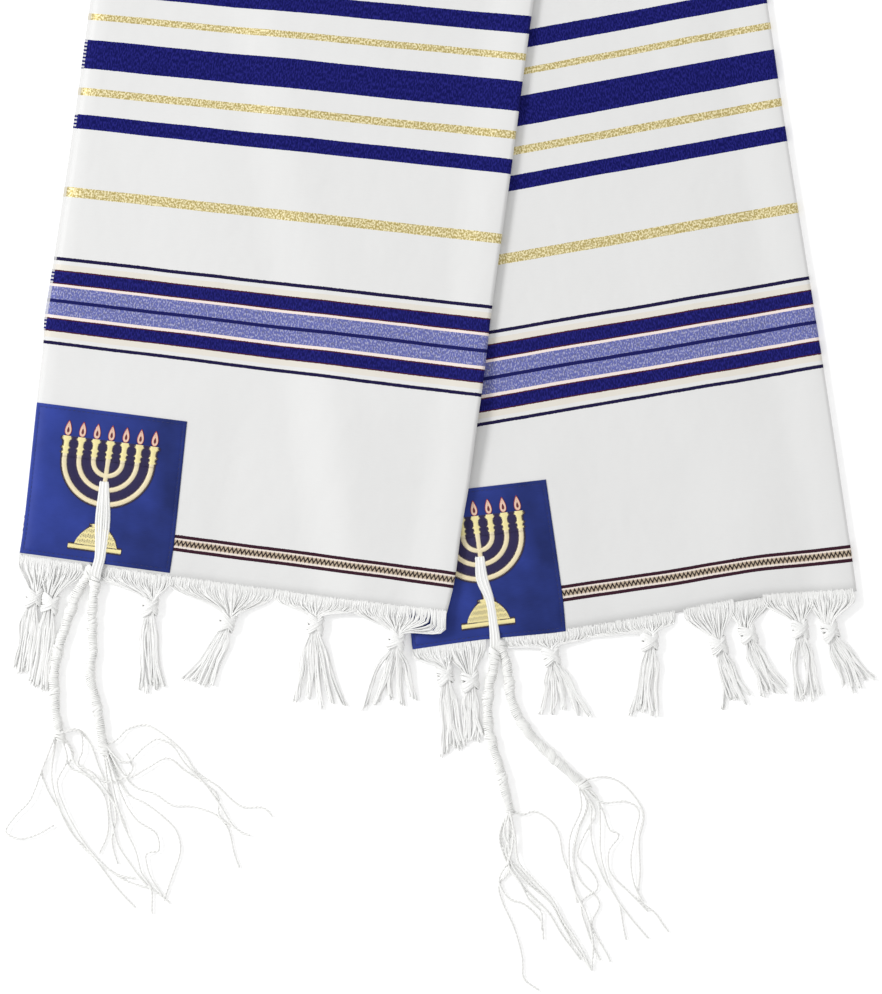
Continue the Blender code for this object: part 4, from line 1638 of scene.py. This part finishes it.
@dataclass(frozen=True)
class FringeBundle:
    """Loose warp threads of a hem, gathered and tied in one overhand knot."""

    arm: Arm
    row: FringeRow
    seed: int
    thread_radius: float = 0.4
    threads_per_mm: float = 2.6
    least_threads: int = 84
    most_threads: int = 140
    thread_steps: int = 17
    tail_swell: float = 0.45
    knot_half_width: float = 4.7
    knot_half_height: float = 2.7
    knot_length: float = 9.4
    knot_loops: int = 18
    knot_swell: float = 1.9
    loop_steps: int = 18
    locks: int = 5
    tail_spread: float = 8.0
    least_height: float = 0.65
    lane_limit: float = 3.0
    root_reach: float = 4.0
    root_depth: float = 0.35
    root_stray: float = 1.5
    root_out: float = 5.5
    selvedge_inset: float = 0.4
    upper_crease_inset: float = 0.7
    lower_crease_inset: float = 3.0
    top_lift: float = 0.55
    crease_reach: float = 14.0
    crease_ramp: float = 10.0
    crease_drop: float = 6.5

    TAIL_PARTS = (0.3, 0.6, 0.82, 1.0)

    def root(self, along_hem: float, out: float) -> Point:
        """Where a thread leaves the hem.

        Args:
            along_hem: Distance along the hem.
            out: Distance out of it.

        Returns:
            The point.
        """
        spot = self.arm.hem_point(along_hem, out - self.arm.sway(along_hem, 0.0))
        if self.row.layer is Layer.UNDER:
            return (spot.x, spot.y, self.arm.base(along_hem, 0.0) + self.root_depth)
        return (spot.x, spot.y, self.arm.top(along_hem, 0.0) - self.root_depth)

    def tie(self) -> Tie:
        """Find where the bundle is tied.

        Returns:
            The place, with the ways along the bundle and across it.
        """
        row = self.row
        along_hem, outwards = self.arm.hem_ways()
        spot = self.arm.hem_point(row.knot_along, row.knot_out)
        tips = (self.arm.hem_point(*row.tip_start), self.arm.hem_point(*row.tip_end))
        way = (outwards + ((tips[0] + tips[1]) * 0.5 - spot).normalized()).normalized()
        side = Vector((-way.y, way.x))
        if side.dot(along_hem) < 0.0:
            side = -side
        return Tie(spot, row.knot_height, way, side, tips)

    def thread(self, chance: random.Random, tie: Tie, place: float, bows: list[float],
               trims: list[float]) -> list[Point]:
        """One thread, from inside the hem through the knot to its tip.

        Args:
            chance: The bundle's own random numbers.
            tie: Where the bundle is tied.
            place: The thread's place in the bundle, 0 to 1.
            bows: How far each lock of the tail bows.
            trims: How much longer each lock is.

        Returns:
            The thread's points.
        """
        row = self.row
        width = self.arm.width(0.0)
        span = row.root_end - row.root_start
        along = row.root_start - self.root_reach + (span + 2.0 * self.root_reach) * place
        limit = width - (self.upper_crease_inset if self.arm.is_upper else self.lower_crease_inset)
        along = min(limit, max(self.selvedge_inset, along + chance.uniform(-0.25, 0.25)))
        lane = (place - 0.5) * 2.0 * self.knot_half_width * 0.8
        level = chance.uniform(-1.0, 1.0) * self.knot_half_height * 0.75
        inside = self.root(along, -chance.uniform(0.6, 2.4))
        start = (inside[0], inside[1], inside[2] + self.top_lift * (row.layer is Layer.TOP))
        edge = self.root(along, 0.8)
        stray = chance.gauss(0.0, self.root_stray)
        nearness = ease((along - width + self.crease_reach) / self.crease_ramp) * self.arm.is_upper
        strayed = max(self.selvedge_inset, along + 0.5 * stray * (1.0 - nearness))
        early = self.root(strayed, min(self.root_out, 0.35 * row.knot_out) + self.crease_drop * nearness)
        lane = max(-self.lane_limit, min(self.lane_limit, lane + 0.5 * stray))
        into = tie.spot - tie.way * (0.5 * self.knot_length) + tie.side * lane
        leave = tie.spot + tie.way * (0.5 * self.knot_length) + tie.side * lane * 0.9
        anchors = [start, edge,
                   (early[0], early[1], edge[2] + 0.4 * level),
                   (into.x, into.y, tie.height + level),
                   (leave.x, leave.y, tie.height + level * 0.9)]
        lock = min(self.locks - 1, int(place * self.locks))
        anchors += self.tail(chance, tie, place, leave, lane, (lock, bows[lock], trims[lock]))
        line = spline_points(anchors, self.thread_steps)
        return [(x, y, max(z, self.least_height)) for x, y, z in line]

    def tail(self, chance: random.Random, tie: Tie, place: float, leave: Vector, lane: float,
             lock: tuple[int, float, float]) -> list[Point]:
        """The part of a thread below the knot.

        Args:
            chance: The bundle's own random numbers.
            tie: Where the bundle is tied.
            place: The thread's place in the bundle, 0 to 1.
            leave: Where it leaves the knot.
            lane: Its distance from the knot's middle.
            lock: Its lock's number, bow and trim.

        Returns:
            The points.
        """
        number, bow, trim = lock
        centre = (number + 0.5) / self.locks
        held = centre + 0.25 * (place - centre)
        spread = 0.5 * self.tail_spread * (2.0 * held - 1.0)
        tip = tie.tips[0].lerp(tie.tips[1], held) + tie.side * (spread + chance.gauss(0.0, 0.5))
        tip = tip + (tip - tie.spot).normalized() * (trim + chance.uniform(-3.5, 1.5))
        drop = chance.uniform(0.0, 1.0)
        low = 0.4 + self.thread_radius + 2.2 * drop * drop
        bow += chance.gauss(0.0, 0.5)
        points = []
        for part in self.TAIL_PARTS:
            spot = leave.lerp(tip, part)
            flare = bow * math.sin(math.pi * part * 1.1) + chance.gauss(0.0, 0.4)
            flare += 0.55 * lane * math.sin(math.pi * min(1.0, part * 1.6))
            height = low + (tie.height - low) * (1.0 - part) ** 2 * 0.8
            spot = spot + tie.side * flare
            points.append((spot.x, spot.y, max(0.7, height)))
        return points

    def knot(self, chance: random.Random, tie: Tie) -> list[list[Point]]:
        """Slanted loops of the overhand knot.

        Args:
            chance: The bundle's own random numbers.
            tie: Where the bundle is tied.

        Returns:
            The loops.
        """
        turned = chance.choice((-1.0, 1.0))
        loops = []
        for number in range(self.knot_loops):
            share = 0.62 * (((number * 7) % self.knot_loops + 0.5) / self.knot_loops - 0.5)
            slant = 0.42 if number < self.knot_loops * 0.6 else -0.36
            tilt = self.knot_length * slant * chance.uniform(0.8, 1.1) * turned
            bulge = 1.0 - 1.4 * share * share + chance.uniform(-0.05, 0.05)
            start_turn = chance.uniform(0.0, 2.0 * math.pi)
            loop = []
            for step in range(self.loop_steps + 1):
                turn = start_turn + 2.2 * math.pi * step / self.loop_steps
                forward = share * self.knot_length + tilt * math.cos(turn + 0.35)
                wide = self.knot_half_width * bulge * math.cos(turn) * 1.12
                high = self.knot_half_height * bulge * math.sin(turn) * 1.1
                spot = tie.spot + tie.way * forward + tie.side * wide
                loop.append((spot.x, spot.y, max(tie.height + high, self.least_height + 0.2)))
            loops.append(loop)
        return loops

    def build(self, material: bpy.types.Material) -> bpy.types.Object:
        """Make the bundle.

        Args:
            material: Its finish.

        Returns:
            The object.
        """
        chance = random.Random(self.seed)
        tie = self.tie()
        span = self.row.root_end - self.row.root_start
        count = round(min(self.most_threads, max(self.least_threads, span * self.threads_per_mm)))
        bows = [chance.gauss(0.0, 1.3) for _ in range(self.locks)]
        trims = [chance.uniform(-4.5, 2.0) for _ in range(self.locks)]
        threads = [self.thread(chance, tie, (number + 0.5) / count, bows, trims) for number in range(count)]
        steps = self.thread_steps
        swell = [1.0 + self.tail_swell * ease(step / steps * 2.0 - 0.6) for step in range(steps)]
        loops = self.knot(chance, tie)
        swells = [swell] * count + [[self.knot_swell] * (self.loop_steps + 1)] * len(loops)
        name = self.row.name + "_threads"
        return thread_piece(name, threads + loops, self.thread_radius, material, swells)


class CordRow(NamedTuple):
    """One corner cord: its plan route, and the line of its strings from the eyelet."""

    name: str
    arm: Arm
    start_height: float
    route: tuple[tuple[float, float], ...]
    drawn: tuple[tuple[float, float], ...]


CORNER_CORDS: tuple[CordRow, ...] = (
    CordRow("tzitzit_upper_front", UPPER_ARM, 4.6,
     ((-218.6, -307.5), (-219.6, -315.2), (-221.2, -332.3), (-220.6, -352.7), (-222.5, -365.4),
      (-218.7, -383.2), (-213.6, -414.4)),
     ((-218.0, -301.4), (-215.6, -292.0), (-213.9, -268.6), (-212.9, -245.1))),
    CordRow("tzitzit_upper_back", UPPER_ARM, 2.4,
     ((-221.6, -300.4), (-230.6, -316.0), (-236.5, -332.3), (-241.6, -348.2), (-244.6, -362.9),
      (-244.8, -383.2), (-241.6, -406.8)),
     ()),
    CordRow("tzitzit_lower_front", LOWER_ARM, 4.6,
     ((34.9, -352.6), (34.4, -361.4), (31.2, -376.9), (31.5, -402.3), (38.5, -427.8),
      (45.5, -456.4)),
     ((35.3, -346.2), (34.4, -336.0), (31.9, -319.6), (27.0, -306.0), (25.6, -292.8))),
    CordRow("tzitzit_lower_back", LOWER_ARM, 2.4,
     ((37.4, -345.6), (42.6, -360.5), (46.6, -385.8), (57.6, -404.9), (74.2, -421.4),
      (91.4, -437.3)),
     ()),
)

# Plan points of each loose string, as they lie in the photograph
STRING_ROUTES: dict[str, tuple[tuple[tuple[float, float], ...], ...]] = {
    "tzitzit_upper_front": (
        ((-215, -412), (-206, -409), (-199, -402), (-187, -399), (-176, -405), (-164, -416),
         (-155, -429), (-141, -438), (-126, -451), (-113, -452), (-107, -458)),
        ((-213, -414), (-200, -423), (-188, -413), (-179, -408), (-169, -413), (-162, -423),
         (-152, -434), (-143, -446), (-129, -465), (-120, -469)),
        ((-210, -428), (-199, -432), (-187, -427), (-173, -420), (-163, -427), (-152, -435),
         (-142, -444), (-140, -457), (-124, -468)),
        ((-208, -432), (-196, -437), (-181, -443), (-170, -450), (-158, -451), (-144, -456),
         (-135, -465), (-130, -481), (-127, -490)),
        ((-210, -432), (-199, -442), (-187, -449), (-176, -458), (-168, -467), (-165, -479),
         (-169, -493), (-176, -511)),
        ((-211, -432), (-201, -447), (-192, -460), (-180, -468), (-179, -479), (-187, -481),
         (-185, -494), (-176, -507)),
        ((-213, -432), (-206, -446), (-200, -465), (-194, -479), (-190, -493), (-183, -503),
         (-183, -519)),
        ((-213, -432), (-210, -446), (-209, -458), (-205, -475), (-196, -488), (-187, -500),
         (-172, -513)),
    ),
    "tzitzit_upper_back": (
        ((-245, -410), (-251, -421), (-253, -429), (-249, -442), (-240, -457), (-229, -474),
         (-215, -488), (-201, -498), (-185, -503)),
        ((-246, -412), (-252, -425), (-260, -446), (-271, -458), (-276, -467), (-268, -471),
         (-257, -469), (-246, -463)),
        ((-243, -410), (-237, -421), (-243, -435), (-239, -451), (-231, -467), (-220, -481),
         (-206, -494), (-194, -497)),
        ((-240, -409), (-233, -417), (-236, -425), (-225, -431), (-215, -442), (-211, -457),
         (-211, -469), (-217, -481)),
        ((-240, -407), (-230, -402), (-222, -412), (-217, -425), (-210, -442), (-206, -458),
         (-208, -472), (-205, -488)),
        ((-239, -405), (-229, -403), (-227, -415), (-230, -424), (-222, -429), (-215, -437),
         (-205, -451), (-199, -469)),
        ((-242, -410), (-235, -414), (-232, -423), (-224, -431), (-208, -435), (-196, -428),
         (-200, -417)),
        ((-245, -412), (-247, -432), (-242, -452), (-233, -469), (-224, -479), (-208, -500),
         (-193, -515)),
    ),
    "tzitzit_lower_front": (
        ((46, -455), (53, -456), (60, -454), (70, -460), (76, -469), (79, -484), (84, -498),
         (88, -512)),
        ((44, -455), (48, -469), (50, -486), (60, -498), (72, -510), (79, -524), (90, -542),
         (97, -555)),
        ((42, -456), (44, -474), (46, -487), (57, -501), (70, -512), (78, -525), (88, -542),
         (95, -555)),
        ((40, -455), (38, -469), (41, -482), (47, -494), (57, -507), (70, -519), (79, -534),
         (89, -549)),
        ((39, -455), (39, -469), (42, -481), (45, -491), (38, -501), (40, -512), (47, -529),
         (53, -548), (54, -560), (63, -568)),
        ((41, -456), (47, -467), (46, -479), (44, -488), (50, -498), (57, -510), (65, -518),
         (64, -530)),
        ((42, -455), (41, -467), (45, -482), (38, -498), (44, -510), (53, -513), (65, -524),
         (66, -536)),
        ((44, -456), (46, -466), (42, -480), (53, -493), (65, -507), (74, -518), (82, -530),
         (84, -538)),
    ),
    "tzitzit_lower_back": (
        ((93, -435), (105, -432), (115, -436), (124, -445), (130, -456), (127, -472), (127, -491),
         (127, -510), (137, -518), (146, -531)),
        ((94, -436), (102, -448), (112, -448), (120, -448), (127, -454), (124, -469), (121, -485),
         (124, -500), (130, -511)),
        ((93, -437), (100, -445), (102, -460), (102, -479), (107, -497), (114, -512), (124, -526),
         (133, -535)),
        ((91, -438), (96, -450), (96, -467), (99, -482), (105, -499), (114, -513), (119, -536)),
        ((90, -438), (94, -450), (88, -467), (85, -484), (89, -498), (102, -512), (97, -526),
         (108, -550)),
        ((90, -439), (90, -452), (83, -469), (82, -485), (85, -501), (93, -518), (97, -538),
         (97, -555)),
        ((93, -438), (102, -450), (108, -466), (114, -469), (108, -479), (109, -493), (119, -505),
         (133, -518)),
        ((91, -439), (99, -455), (93, -467), (88, -482), (97, -493), (100, -503), (90, -512),
         (95, -531), (102, -549)),
    ),
}


@dataclass(frozen=True)
class CornerCord:
    """A wound and knotted corner cord with its loose strings."""

    row: CordRow
    seed: int
    core_radius: float = 2.75
    wrap_radius: float = 0.66
    wrap_pitch: float = 1.12
    flatness: float = 0.8
    ply_radius: float = 0.57
    ply_offset: float = 0.42
    ply_pitch: float = 5.2
    knot_pitch: float = 27.0
    knot_turns: int = 9
    knot_half_width: float = 3.6
    knot_half_height: float = 2.7
    floor_gap: float = 0.4
    drawn_radius: float = 0.88
    drawn_steps: int = 30
    wrap_steps: int = 10
    loop_steps: int = 16
    knot_span: float = 7.0
    fade_in: float = 30.0

    DRAWN_LANES = (-2.5, -1.5, -0.5, 0.5, 1.5, 2.5)
    UPPER_WIDTHS = (0.8, 0.95, 1.05, 1.05, 1.6, 0.9)
    LOWER_WIDTHS = (0.8, 0.9, 1.0, 0.85, 0.8, 1.2, 0.9)

    @staticmethod
    def ways_at(line: list[Point], index: int, reach: int = 1) -> tuple[Vector, Vector, Vector]:
        """Ways along, across and above a line at one of its points.

        Args:
            line: Points close together.
            index: Number of the point.
            reach: How many points away its two neighbours are.

        Returns:
            The three ways.
        """
        ahead = Vector(line[min(index + reach, len(line) - 1)])
        behind = Vector(line[max(index - reach, 0)])
        way = (ahead - behind).normalized()
        side = way.cross(Vector((0.0, 0.0, 1.0))).normalized()
        return way, side, side.cross(way)

    def strands(self, line: list[Point], start_turn: float) -> list[list[Point]]:
        """Two plies twisted round a line.

        Args:
            line: Points close together.
            start_turn: Angle of the first ply.

        Returns:
            The two plies.
        """
        plies: list[list[Point]] = [[], []]
        reach = 0.0
        for index, point in enumerate(line):
            _, side, rise = self.ways_at(line, index)
            if index:
                reach += math.dist(point, line[index - 1])
            for ply in (0, 1):
                turn = start_turn + 2.0 * math.pi * reach / self.ply_pitch + math.pi * ply
                spot = Vector(point) + (side * math.cos(turn) + rise * math.sin(turn)) * self.ply_offset
                plies[ply].append(tuple(spot))
        return plies

    def middle(self) -> tuple[list[Point], float]:
        """Anchors of the cord's middle line.

        Returns:
            The anchors and the cord's length.
        """
        route = self.row.route
        settled = self.floor_gap + self.core_radius * self.flatness + self.wrap_radius
        lifted = max(0.0, self.row.start_height - settled)
        anchors = []
        reach = 0.0
        for index, (x, y) in enumerate(route):
            if index:
                reach += math.dist(route[index - 1], (x, y))
            anchors.append((x, y, settled + lifted * (1.0 - ease(reach / self.fade_in))))
        return anchors, reach

    def core(self) -> list[Point]:
        """The strands inside the windings, as one line.

        Returns:
            The line.
        """
        anchors, reach = self.middle()
        return spline_points(anchors, round(reach / 2.5))

    def winding(self, line: list[Point], reach: float, phase: float) -> list[Point]:
        """One thread wound round the cord from end to end.

        Args:
            line: The cord's middle line.
            reach: Its length.
            phase: Where the cord's slow swelling starts.

        Returns:
            The thread.
        """
        thread = []
        for index, point in enumerate(line):
            way, side, rise = self.ways_at(line, index)
            turn = 2.0 * math.pi * index / self.wrap_steps
            here = reach * index / (len(line) - 1)
            wobble = 1.0 + 0.07 * math.sin(here * 1.7 + phase) + 0.1 * math.sin(here * 0.43 + 2.0 * phase)
            wobble += 0.04 * math.sin(here * 5.1)
            radius = self.core_radius * wobble * (0.6 + 0.4 * ease(here / 8.0))
            radius *= 1.0 - 0.25 * ease((here - reach + 6.0) / 6.0)
            lean = (0.9 + 0.7 * math.sin(here * 0.31 + phase)) * math.cos(turn)
            spot = (Vector(point) + way * lean + side * math.cos(turn) * radius
                    + rise * math.sin(turn) * radius * self.flatness)
            thread.append((spot.x, spot.y, max(spot.z, self.wrap_radius + 0.05)))
        return thread

    def knot(self, chance: random.Random, line: list[Point], centre: int,
             slant: float) -> list[list[Point]]:
        """The loops of one knot.

        Args:
            chance: The piece's own random numbers.
            line: The cord's middle line.
            centre: Number of the line's point in the knot's middle.
            slant: 1.0 or -1.0, the way its loops lean.

        Returns:
            The loops.
        """
        way, side, rise = self.ways_at(line, centre, 2)
        loops = []
        for number in range(self.knot_turns):
            shift = ((number + 0.5) / self.knot_turns - 0.5) * self.knot_span + chance.uniform(-0.6, 0.6)
            tilt = chance.uniform(0.4, 2.4) * slant
            begin = chance.uniform(0.0, 6.28)
            bulge = 1.0 - 0.022 * shift * shift
            loop = []
            for step in range(self.loop_steps + 1):
                turn = begin + 2.3 * math.pi * step / self.loop_steps
                spot = (Vector(line[centre]) + way * (shift + tilt * math.cos(turn))
                        + side * math.cos(turn) * self.knot_half_width * bulge
                        + rise * math.sin(turn) * self.knot_half_height * bulge)
                loop.append((spot.x, spot.y, max(spot.z, self.wrap_radius + 0.05)))
            loops.append(loop)
        return loops

    def wound(self, chance: random.Random) -> list[list[Point]]:
        """The windings and knots along the cord.

        Args:
            chance: The piece's own random numbers.

        Returns:
            The threads.
        """
        anchors, reach = self.middle()
        turns = int(reach / self.wrap_pitch)
        line = spline_points(anchors, turns * self.wrap_steps + 1)
        threads = [self.winding(line, reach, chance.uniform(0.0, 6.28))]
        for number in range(int(reach / self.knot_pitch) + 1):
            place = (number * self.knot_pitch + 2.0) / reach
            centre = min(len(line) - 3, int(place * (len(line) - 1)))
            threads += self.knot(chance, line, centre, 1.0 if number % 2 else -1.0)
        return threads

    def loose(self, chance: random.Random) -> list[list[Point]]:
        """The loose strings below the cord.

        Args:
            chance: The piece's own random numbers.

        Returns:
            Their lines.
        """
        begin = Vector(self.row.route[-1])
        way = (begin - Vector(self.row.route[-2])).normalized()
        side = Vector((-way.y, way.x))
        lines = []
        for index, path in enumerate(STRING_ROUTES[self.row.name]):
            lane = max(-1.0, min(1.0, side.dot(Vector(path[1]) - begin) / 12.0))
            root = begin + side * (lane * 1.6) - way * 3.0
            level = self.floor_gap + self.ply_radius + self.ply_offset + (index * 3 % 4) * 0.75
            phase = chance.uniform(0.0, 6.28)
            smooth = spline_points([(root.x, root.y, 0.0)] + [(x, y, 0.0) for x, y in path[1:]], 26)
            line = []
            for step, (x, y, _) in enumerate(smooth):
                part = step / (len(smooth) - 1)
                sway = 0.7 * math.sin(13.0 * part + phase) * part
                height = level * (1.0 - 0.5 * part) + 1.6 * (1.0 - ease(part * 5.0))
                line.append((x + sway, y + 0.5 * sway, max(height, 1.25)))
            lines.append(line)
        return lines

    def from_eyelet(self) -> list[list[Point]]:
        """Strings that lie on the corner piece, from its eyelet to the cord.

        Returns:
            Their lines.
        """
        row = self.row
        if not row.drawn:
            return []
        spots = [Vector(row.route[1]), Vector(row.route[0])] + [Vector(p) for p in row.drawn]
        widths = self.UPPER_WIDTHS if row.arm.is_upper else self.LOWER_WIDTHS
        hem_way, outwards = row.arm.hem_ways()
        left = row.arm.ends(0.0)[0]
        lines = []
        for lane in self.DRAWN_LANES:
            line = []
            for number, spot in enumerate(spots):
                ahead = spots[min(number + 1, len(spots) - 1)]
                behind = spots[max(number - 1, 0)]
                way = (ahead - behind).normalized()
                side = Vector((-way.y, way.x))
                place = spot + side * lane * widths[number]
                top = row.arm.top((place - left).dot(hem_way), 0.0)
                on_satin = top + 2.9 - 0.12 * abs(lane) + 0.35 * (round(lane + 2.5) % 2)
                outside = (place - left).dot(outwards)
                line.append((place.x, place.y, on_satin if outside < 3.0 else row.start_height))
            tuck = line[-1]
            line.append((tuck[0] - 0.3 * lane, tuck[1] + 1.6, tuck[2] - 2.2))
            lines.append(line)
        return lines

    def build(self, material: bpy.types.Material) -> bpy.types.Object:
        """Make the cord with its strings.

        Args:
            material: Its finish.

        Returns:
            The object.
        """
        chance = random.Random(self.seed)
        threads = self.wound(chance)
        swells = [[self.wrap_radius / self.ply_radius] * len(thread) for thread in threads]
        threads.append(self.core())
        full = 0.84 * self.core_radius * self.flatness / self.ply_radius
        swells.append([full * (0.6 + 0.4 * ease(i / 6.0)) for i in range(len(threads[-1]))])
        for anchors in self.from_eyelet():
            threads.append(spline_points(anchors, self.drawn_steps))
            swell = self.drawn_radius / self.ply_radius * chance.uniform(0.9, 1.1)
            swells.append([swell] * self.drawn_steps)
        for anchors in self.loose(chance):
            length = sum(math.dist(a, b) for a, b in zip(anchors, anchors[1:]))
            line = spline_points(anchors, max(12, round(length / self.ply_pitch * 8)))
            for ply in self.strands(line, chance.uniform(0.0, 6.28)):
                threads.append(ply)
                swells.append([1.0] * len(ply))
        return thread_piece(self.row.name + "_cord", threads, self.ply_radius, material, swells)


@dataclass(frozen=True)
class Studio:
    """The floor, the lights and the camera."""

    camera_height: float = 2.6
    sensor: float = 36.0
    frame_height: float = 0.6328
    centre: tuple[float, float] = (0.00195, -0.257)
    floor_size: float = 8.0
    floor_drop: float = 0.0004
    key_place: tuple[float, float, float] = (-3.0, 0.8, 2.6)
    key_aim: tuple[float, float, float] = (0.0, -0.25, 0.0)
    key_size: float = 1.2
    key_power: float = 94.0
    world_strength: float = 0.8

    def floor(self) -> bpy.types.Object:
        """Lay the floor.

        Returns:
            The floor.
        """
        bpy.ops.mesh.primitive_plane_add(size=self.floor_size, location=(0.0, 0.0, -self.floor_drop))
        floor = bpy.context.view_layer.objects.active
        floor.name = "studio_floor"
        floor.data.materials.append(FloorFinish().material())
        return floor

    def lights(self) -> None:
        """Set the key light at the upper left, and a pale world."""
        bpy.ops.object.light_add(type="AREA", location=self.key_place)
        key = bpy.context.view_layer.objects.active
        key.name = "key_light"
        key.data.shape = "DISK"
        key.data.size = self.key_size
        key.data.energy = self.key_power
        aim = Vector(self.key_aim) - key.location
        key.rotation_euler = aim.to_track_quat("-Z", "Y").to_euler()
        world = bpy.data.worlds.new("studio_world")
        world.use_nodes = True
        background = world.node_tree.nodes["Background"]
        background.inputs["Color"].default_value = (1.0, 1.0, 1.0, 1.0)
        background.inputs["Strength"].default_value = self.world_strength
        bpy.context.scene.world = world

    def camera(self) -> None:
        """Set the camera straight above the part of the cloth that the photograph shows."""
        data = bpy.data.cameras.new("camera")
        data.sensor_width = self.sensor
        data.lens = self.sensor * self.camera_height / self.frame_height
        camera = bpy.data.objects.new("camera", data)
        bpy.context.scene.collection.objects.link(camera)
        camera.location = (self.centre[0], self.centre[1], self.camera_height)
        bpy.context.scene.camera = camera
        bpy.context.scene.view_settings.view_transform = "Standard"


@dataclass(frozen=True)
class CornerPlan:
    """The sizes in which one arm's corner pieces and lampstand differ from the other arm's."""

    arm: Arm
    hem_inset: float
    width: float
    skew: float
    lamp_across: float
    lamp_foot: float
    lamp_lean: float


CORNER_PLANS = (
    # arm, hem inset, width, skew, lampstand's place across and foot, its lean
    CornerPlan(UPPER_ARM, 3.0, 96.4, 0.0, 47.1, 10.3, 0.038),
    CornerPlan(LOWER_ARM, 0.3, 98.4, 4.6, 50.0, 8.2, 0.006),
)


def lay_corners() -> None:
    """Lay the corner pieces on the cloth, with their topstitching and lampstands.
    """
    satin = SatinFinish().material()
    blue = BLUE_THREAD.material()
    embroidery = {
        "maroon": MAROON_OUTLINE_SHADE_THREAD.material(),
        "navy": SHADE_NAVY_THREAD.material(),
        "gold": GOLD_THREAD.material(),
        "cream": CREAM_THREAD.material(),
        "flame": FLAME_THREAD.material(),
        "red": RED_THREAD.material(),
        "dark_red": DARK_RED_THREAD.material(),
    }
    for plan in CORNER_PLANS:
        for layer in Layer:
            piece = CornerPiece(plan.arm, layer, plan.hem_inset, plan.width, plan.skew)
            square = piece.build(satin)
            finish_piece(square, Slot.SATIN, piece.node)
            piece.width * MM
            finish_piece(piece.topstitching(blue), Slot.SATIN)
            if layer is Layer.TOP:
                lampstand = Menorah(piece, plan.lamp_across, plan.lamp_foot, plan.lamp_lean)
                for item in lampstand.build(embroidery):
                    finish_piece(item, Slot.THREAD)


def tie_fringe() -> list[bpy.types.Object]:
    """Tie the fringe bundles to the hems and the cords to the corners.

    Returns:
        The bundles and cords.
    """
    pieces = []
    yarn = WHITE_YARN.material()
    for arm, rows in ((UPPER_ARM, UPPER_FRINGE), (LOWER_ARM, LOWER_FRINGE)):
        for number, row in enumerate(rows):
            bundle = FringeBundle(arm, row, FRINGE_SEED * (1 + arm.is_upper) + number).build(yarn)
            finish_piece(bundle, Slot.THREAD, row.name)
            pieces.append(bundle)
    cord_yarn = CORD_YARN.material()
    for number, row in enumerate(CORNER_CORDS):
        cord = CornerCord(row, CORD_SEED + number).build(cord_yarn)
        finish_piece(cord, Slot.THREAD, row.name)
        pieces.append(cord)
    return pieces


def main() -> None:
    """Build the scene."""
    logging.basicConfig(level=logging.INFO)
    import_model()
    studio = Studio()
    studio.camera()
    studio.floor()
    studio.lights()

    cloth = ShawlCloth().build(WovenFinish().material())
    finish_piece(cloth, Slot.CLOTH, "shawl_lower_arm", "shawl_upper_arm")

    lay_corners()
    fringe = tie_fringe()


if __name__ == "__main__":
    main()
